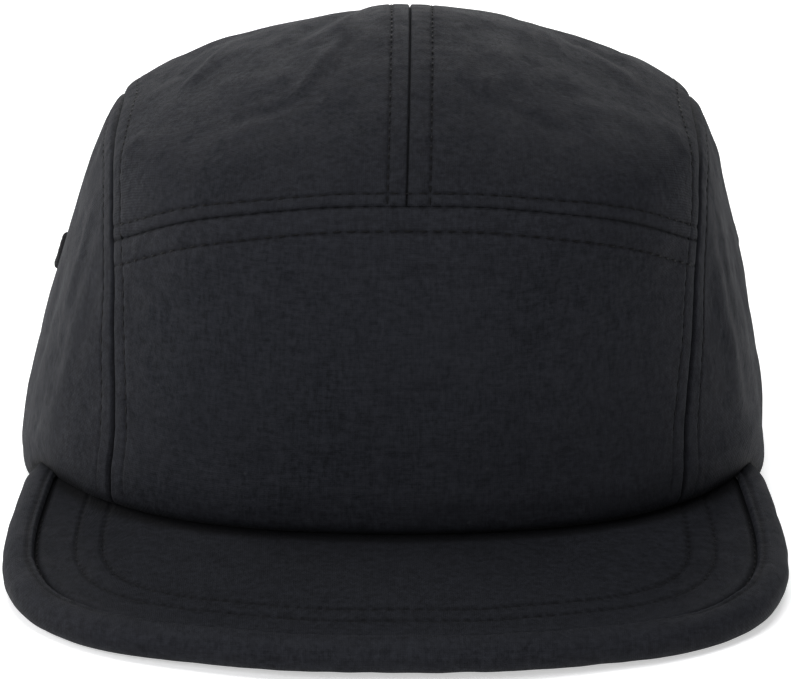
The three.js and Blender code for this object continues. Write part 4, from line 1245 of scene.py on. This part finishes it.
# Materials
class Tree:
    # a small helper to wire nodes by name
    def __init__(self, tree):
        self.tree = tree
        self.column = 0

    def put(self, node, values):
        # each value is a number, a colour or another node's output
        for key, value in values.items():
            target = node.inputs[key]
            if isinstance(value, bpy.types.NodeSocket):
                self.tree.links.new(value, target)
            else:
                target.default_value = value

    def add(self, kind, values=None, **settings):
        node = self.tree.nodes.new(kind)
        self.column += 1
        node.location = (180 * (self.column % 12) - 1600, -260 * (self.column // 12))
        for key, value in settings.items():
            setattr(node, key, value)
        self.put(node, values or {})
        return node

    def math(self, operation, *values):
        return self.add("ShaderNodeMath", dict(enumerate(values)), operation=operation).outputs[0]

    def times(self, a, b):
        return self.math("MULTIPLY", a, b)

    def plus(self, a, b):
        return self.math("ADD", a, b)

    def vector(self, operation, a, b):
        return self.add("ShaderNodeVectorMath", {0: a, 1: b}, operation=operation).outputs[0]

    def threads(self, value, turns):
        # round threads side by side
        return self.math("ABSOLUTE", self.math("SINE", self.times(value, turns)))

    def noise(self, vector, scale, detail=2.0, roughness=0.5):
        return self.add("ShaderNodeTexNoise", {"Vector": vector, "Scale": scale, "Detail": detail,
                                               "Roughness": roughness}).outputs["Fac"]

    def remap(self, value, low, high, toLow=0.0, toHigh=1.0):
        return self.add("ShaderNodeMapRange", {"Value": value, "From Min": low, "From Max": high,
                                               "To Min": toLow, "To Max": toHigh}).outputs["Result"]

    def mix(self, share, first, second):
        return self.add("ShaderNodeMix", {0: share, 6: first, 7: second}, data_type="RGBA").outputs[2]

    def bump(self, height, strength, distance):
        values = {"Height": height, "Strength": strength, "Distance": distance}
        return self.add("ShaderNodeBump", values).outputs[0]

    def mask(self, label):
        return self.add("ShaderNodeAttribute", attribute_name=label).outputs["Fac"]


def newGroup(name, inputs, outputs):
    group = bpy.data.node_groups.new(name, "ShaderNodeTree")
    for label, value in inputs.items():
        kind = "NodeSocketVector" if value is None else "NodeSocketFloat"
        s = group.interface.new_socket(label, in_out="INPUT", socket_type=kind)
        if value is not None:
            s.default_value = value
    for label in outputs:
        group.interface.new_socket(label, in_out="OUTPUT", socket_type="NodeSocketFloat")
    tree = Tree(group)
    return group, tree, tree.add("NodeGroupInput").outputs, tree.add("NodeGroupOutput")


def plainWeaveGroup():
    # one thread over, one under; Vector is measured along the cloth, both directions in metres
    inputs = {"Vector": None, "Place": None, "Pitch": 1800.0, "Slub": 0.5}
    group, t, given, out = newGroup("plainWeave", inputs, ["Height", "Tone"])
    drift = t.add("ShaderNodeTexNoise", {"Vector": given["Vector"], "Scale": 260.0, "Detail": 1.0})
    shift = t.vector("MULTIPLY", drift.outputs["Color"], (0.0006, 0.0006, 0.0))
    split = t.add("ShaderNodeSeparateXYZ", {0: t.vector("ADD", given["Vector"], shift)})
    u, v = (t.times(split.outputs[k], given["Pitch"]) for k in (0, 1))
    over = t.math("FLOORED_MODULO", t.plus(t.math("FLOOR", u), t.math("FLOOR", v)), 2.0)
    lift = t.times(t.threads(u, math.pi), t.math("MULTIPLY_ADD", over, 0.6, 0.4))
    drop = t.times(t.threads(v, math.pi), t.math("MULTIPLY_ADD", over, -0.6, 1.0))
    # thicker threads run on for a few millimetres, more of them upwards than across
    upwards = t.noise(t.vector("MULTIPLY", given["Vector"], (1300.0, 300.0, 1.0)), 1.0)
    across = t.noise(t.vector("MULTIPLY", given["Vector"], (330.0, 1400.0, 1.0)), 1.0)
    slubs = t.plus(t.remap(upwards, 0.45, 0.72), t.times(t.remap(across, 0.47, 0.74), 0.8))
    height = t.plus(t.math("MAXIMUM", lift, drop), t.times(slubs, given["Slub"]))
    # fine strokes both ways, where threads lie a little proud or sunk
    tall, wide = (t.noise(t.vector("MULTIPLY", given["Place"], size), 1300.0, 2.0, 0.6)
                  for size in ((1.0, 1.0, 0.32), (0.32, 1.0, 1.0)))
    grain = t.times(t.plus(tall, wide), 0.5)
    tone = t.plus(t.times(t.remap(height, 0.2, 1.9), 0.45), t.times(t.remap(grain, 0.37, 0.63), 0.55))
    t.put(out, {"Height": height, "Tone": tone})
    return group


def crinkleGroup():
    # small set creases of washed nylon, longer upwards than across
    group, t, given, out = newGroup("crinkle", {"Vector": None, "Size": 0.004}, ["Height", "Mask"])
    inverse = t.math("DIVIDE", 1.0, given["Size"])
    base = t.add("ShaderNodeVectorMath", {0: given["Vector"], "Scale": inverse}, operation="SCALE").outputs[0]
    tall = t.vector("MULTIPLY", base, (1.25, 1.0, 0.8))
    flat = t.vector("MULTIPLY", base, (0.8, 1.0, 1.25))
    first = t.noise(tall, 1.0, 3.0, 0.6)
    ridges = t.math("SUBTRACT", 1.0, t.math("ABSOLUTE", t.math("MULTIPLY_ADD", first, 4.0, -2.0)))
    height = t.plus(t.times(ridges, 0.28), t.times(first, 0.6))
    height = t.plus(height, t.times(t.noise(flat, 0.6, 2.0, 0.55), 0.8))
    height = t.plus(height, t.times(t.noise(flat, 3.0, 2.0, 0.6), 0.36))
    t.put(out, {"Height": height, "Mask": t.remap(height, 0.75, 1.35)})
    return group


def lintGroup():
    # stray pale fibres and dust, and slight fading in patches
    group, t, given, out = newGroup("lintAndFade", {"Vector": None}, ["Lint", "Fade"])
    specks = t.add("ShaderNodeTexVoronoi", {"Vector": given["Vector"], "Scale": 210.0})
    tiny = t.remap(specks.outputs["Distance"], 0.05, 0.11, 1.0, 0.0)
    pick = t.remap(t.noise(given["Vector"], 90.0), 0.62, 0.72)
    fade = t.remap(t.noise(given["Vector"], 26.0, 3.0, 0.55), 0.3, 0.7)
    t.put(out, {"Lint": t.times(tiny, pick), "Fade": fade})
    return group


def seamRubAndHighlightGroup():
    # a touch paler beside a seam: rubbed wear, and painted highlight on the ridge there
    group, t, given, out = newGroup("seamRubAndHighlight", {"Gap": 10.0, "Vector": None}, ["RubAndHighlight"])
    rise = t.remap(given["Gap"], 0.5, 1.3)
    fall = t.remap(given["Gap"], 1.3, 3.2, 1.0, 0.0)
    patchy = t.remap(t.noise(given["Vector"], 320.0), 0.4, 0.7, 0.2)
    t.put(out, {"RubAndHighlight": t.times(t.times(rise, fall), patchy)})
    return group


weaveNodes, crinkleNodes, lintNodes, rubAndHighlightNodes = plainWeaveGroup(), crinkleGroup(), lintGroup(), seamRubAndHighlightGroup()


def startMaterial(name):
    material = bpy.data.materials.new(name)
    material.use_nodes = True
    material.node_tree.nodes.clear()
    t = Tree(material.node_tree)
    out = t.add("ShaderNodeOutputMaterial")
    shader = t.add("ShaderNodeBsdfPrincipled")
    t.put(out, {"Surface": shader.outputs[0]})
    return material, t, shader


def clothMaterial(name, look):
    material, t, shader = startMaterial(name)
    cloth = t.add("ShaderNodeUVMap", uv_map="cloth").outputs[0]
    place = t.add("ShaderNodeTexCoord").outputs["Object"]
    # grain and creases run on from front to back
    drawn = t.vector("MULTIPLY", place, (1.0, 0.5, 1.0))
    weave = t.add("ShaderNodeGroup", node_tree=weaveNodes)
    crinkle = t.add("ShaderNodeGroup", node_tree=crinkleNodes)
    lint = t.add("ShaderNodeGroup", node_tree=lintNodes)
    seam = t.add("ShaderNodeGroup", node_tree=rubAndHighlightNodes)
    t.put(weave, {"Vector": cloth, "Place": drawn, "Pitch": look["pitch"], "Slub": look["slub"]})
    t.put(crinkle, {"Vector": drawn, "Size": look["crinkleSize"]})
    t.put(lint, {"Vector": place})
    t.put(seam, {"Vector": place, "Gap": t.mask("seamGap")})
    base = t.mix(weave.outputs["Tone"], look["deep"] + (1,), look["raised"] + (1,))
    for share, amount, colour in ((lint.outputs["Fade"], "fade", "paleTone"),
                                  # paler beside seams: rubbed wear and painted highlight
                                  (seam.outputs["RubAndHighlight"], "rubAndHighlight", "paleTone"),
                                  # painted shade from the mesh darkens the base colour towards the shadow
                                  # colour
                                  (t.mask("seamDark"), "shade", "shadow"),
                                  (lint.outputs["Lint"], "lint", "dust")):
        base = t.mix(t.times(share, look[amount]), base, look[colour] + (1,))
    height = t.plus(t.times(weave.outputs["Height"], look["weaveDepth"]),
                    t.times(crinkle.outputs["Height"], look["crinkleDepth"]))
    fine, rough = look["rough"]
    t.put(shader, {"Base Color": base, "Roughness": t.remap(crinkle.outputs["Mask"], 0.0, 1.0, rough, fine),
                   "Normal": t.bump(height, look["bump"], 0.001),
                   "Specular IOR Level": look["specular"], "Sheen Weight": look["sheen"],
                   "Sheen Roughness": look["sheenRough"], "Sheen Tint": look["sheenTint"] + (1,)})
    return material


shellLook = {"pitch": 2100.0, "slub": 0.2, "crinkleSize": 0.0042, "weaveDepth": 0.055, "crinkleDepth": 0.36,
             "bump": 1.0, "deep": (0.0033, 0.0035, 0.0049), "raised": (0.0221, 0.0234, 0.0291),
             "paleTone": (0.0200, 0.0211, 0.0257), "fade": 0.25, "rubAndHighlight": 0.3, "lint": 0.15,
             "dust": (0.12, 0.12, 0.125), "shade": 0.85, "shadow": (0.0015, 0.0015, 0.002),
             "rough": (0.66, 0.84), "specular": 0.08, "sheen": 0.022, "sheenRough": 0.4,
             "sheenTint": (0.88, 0.92, 1.0)}
# the peak's cloth is the shell's, flatter on its board; its darker colours are painted shade
peakLook = dict(shellLook, crinkleDepth=0.16, crinkleSize=0.0035, fade=0.2, sheen=0.014,
                deep=(0.0029, 0.0031, 0.0043), raised=(0.0174, 0.0186, 0.0237))
edgeLook = dict(shellLook, crinkleDepth=0.18, crinkleSize=0.0035, rubAndHighlight=0.45)
bandLook = dict(shellLook, pitch=1250.0, weaveDepth=0.09, crinkleDepth=0.12, deep=(0.006, 0.006, 0.007),
                raised=(0.0135, 0.0138, 0.0155), sheen=0.05, rough=(0.8, 0.92), specular=0.2)


def webbingMaterial():
    # herringbone: slanted threads that turn back every few millimetres
    material, t, shader = startMaterial("ribbedWebbing")
    cloth = t.add("ShaderNodeUVMap", uv_map="cloth").outputs[0]
    split = t.add("ShaderNodeSeparateXYZ", {0: cloth})
    zigzag = t.math("PINGPONG", t.times(split.outputs[1], 1000.0), 2.5)
    slant = t.plus(t.times(split.outputs[0], 1000.0), zigzag)
    height = t.plus(t.times(t.threads(slant, math.pi / 0.62), 0.7),
                    t.times(t.threads(split.outputs[1], 1000.0 * math.pi / 0.5), 0.3))
    patchy = t.noise(cloth, 300.0, 3.0)
    tone = t.times(height, t.remap(patchy, 0.3, 0.7, 0.6))
    t.put(shader, {"Base Color": t.mix(tone, (0.005, 0.005, 0.006, 1), (0.022, 0.023, 0.027, 1)),
                   "Roughness": t.remap(patchy, 0.3, 0.7, 0.55, 0.75),
                   "Normal": t.bump(height, 0.8, 0.00022), "Specular IOR Level": 0.4, "Sheen Weight": 0.1})
    return material


def threadMaterial(name, dark, light, scale):
    material, t, shader = startMaterial(name)
    place = t.add("ShaderNodeTexCoord").outputs["Object"]
    grain, broad = t.noise(place, scale, 2.0, 0.6), t.noise(place, 80.0)
    tone = t.plus(t.times(grain, 0.6), t.times(broad, 0.4))
    t.put(shader, {"Base Color": t.mix(t.remap(tone, 0.35, 0.65), dark + (1,), light + (1,)),
                   "Roughness": t.remap(broad, 0.3, 0.7, 0.5, 0.7),
                   "Normal": t.bump(grain, 0.6, 0.00012), "Specular IOR Level": 0.12})
    return material


def mouldedPlastic():
    material, t, shader = startMaterial("mouldedPlastic")
    place = t.add("ShaderNodeTexCoord").outputs["Object"]
    lint = t.add("ShaderNodeGroup", {"Vector": place}, node_tree=lintNodes)
    wear = t.remap(t.noise(place, 420.0, 3.0, 0.6), 0.45, 0.75)
    base = t.mix(wear, (0.0085, 0.0085, 0.009, 1), (0.015, 0.015, 0.016, 1))
    t.put(shader, {"Base Color": t.mix(t.times(lint.outputs["Lint"], 0.4), base, (0.1, 0.1, 0.1, 1)),
                   "Roughness": t.math("MULTIPLY_ADD", wear, 0.14, 0.34),
                   "Normal": t.bump(t.noise(place, 5200.0), 0.35, 0.00006), "Specular IOR Level": 0.5})
    return material


shellCloth = clothMaterial("crinkledNylon", shellLook)
finishes = {name: (shellCloth, "shell_cloth") for name in panels}
finishes.update({
    "peak": (clothMaterial("peakNylon", peakLook), "shell_cloth"),
    "peak_binding": (clothMaterial("edgeNylon", edgeLook), "shell_cloth"),
    "sweatband": (clothMaterial("bandCotton", bandLook), "band_cloth"),
    "back_strap": (webbingMaterial(), "webbing"),
    "strap_slider": (mouldedPlastic(), "slider_plastic"),
})
eyeletThread = threadMaterial("eyeletThread", (0.003, 0.003, 0.004), (0.012, 0.012, 0.014), 3000.0)
stitchThread = threadMaterial("stitchThread", (0.001, 0.001, 0.0013), (0.0035, 0.0035, 0.0042), 2500.0)
for name in ("eyelet_left", "eyelet_right"):
    finishes[name] = (eyeletThread, "eyelet_thread")
for name in ("crownStitches", "peakStitches", "bandStitches"):
    finishes[name] = (stitchThread, "eyelet_thread")

for name, piece in pieces.items():
    material, slotName = finishes[name]
    piece.data.materials.clear()
    piece.data.materials.append(material)
    if name != "strap_slider":
        piece.data.shade_smooth()
    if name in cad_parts:
        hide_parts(name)
    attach(piece, "root")
print("finishes given")


# Camera, floor and light
view = {"target": (0.0, shiftY * mm, 0.02943), "elevation": 17.4, "roll": 0.2, "distance": 1.8, "lens": 361,
        "clip": (0.05, 50)}
cameraData = bpy.data.cameras.new("camera")
cameraData.lens, cameraData.sensor_width = view["lens"], 36
cameraData.clip_start, cameraData.clip_end = view["clip"]
camera = addToScene("camera", cameraData)
tilt = math.radians(view["elevation"])
camera.location = Vector(view["target"]) + view["distance"] * Vector((0, -math.cos(tilt), math.sin(tilt)))
turn = (Vector(view["target"]) - camera.location).to_track_quat("-Z", "Y")
camera.rotation_euler = (turn @ Quaternion((0, 0, 1), math.radians(view["roll"]))).to_euler()
bpy.context.scene.camera = camera

bpy.ops.mesh.primitive_plane_add(size=12, location=(0, 0, -0.0002))
floor = bpy.context.object
floor.name = "floor"
floorMaterial, t, shader = startMaterial("paleFloor")
t.put(shader, {"Base Color": (0.93, 0.93, 0.935, 1), "Roughness": 0.85, "Specular IOR Level": 0.15,
               "Emission Color": (1, 1, 1, 1), "Emission Strength": 0.51})
floor.data.materials.append(floorMaterial)

world = bpy.data.worlds.new("studio")
world.use_nodes = True
world.node_tree.nodes["Background"].inputs["Color"].default_value = (0.97, 0.98, 1.0, 1)
world.node_tree.nodes["Background"].inputs["Strength"].default_value = 0.15
bpy.context.scene.world = world
bpy.context.scene.view_settings.view_transform = "Standard"

lamps = {
    # place, size, power, colour
    "frontLeft": ((-1.4, -1.6, 1.3), 1.0, 23.7, (0.965, 0.98, 1.0)),
    "frontLow": ((0.0, -2.4, 0.6), 1.2, 4, (0.965, 0.98, 1.0)),
    "above": ((0.0, -0.2, 2.3), 1.4, 29, (1.0, 1.0, 1.0)),
    "behind": ((0.0, 2.2, 0.9), 1.4, 20, (1.0, 1.0, 1.0)),
    "backLeft": ((-1.6, 0.75, 0.6), 1.0, 14, (1.0, 0.985, 0.96)),
}
lampTarget = Vector((0, 0, 0.05))
for name, (place, size, power, colour) in lamps.items():
    data = bpy.data.lights.new(name, "AREA")
    data.energy, data.size, data.color = power, size, colour
    lamp = addToScene(name, data)
    lamp.location = place
    lamp.rotation_euler = (lampTarget - Vector(place)).to_track_quat("-Z", "Y").to_euler()
print("camera and light set")
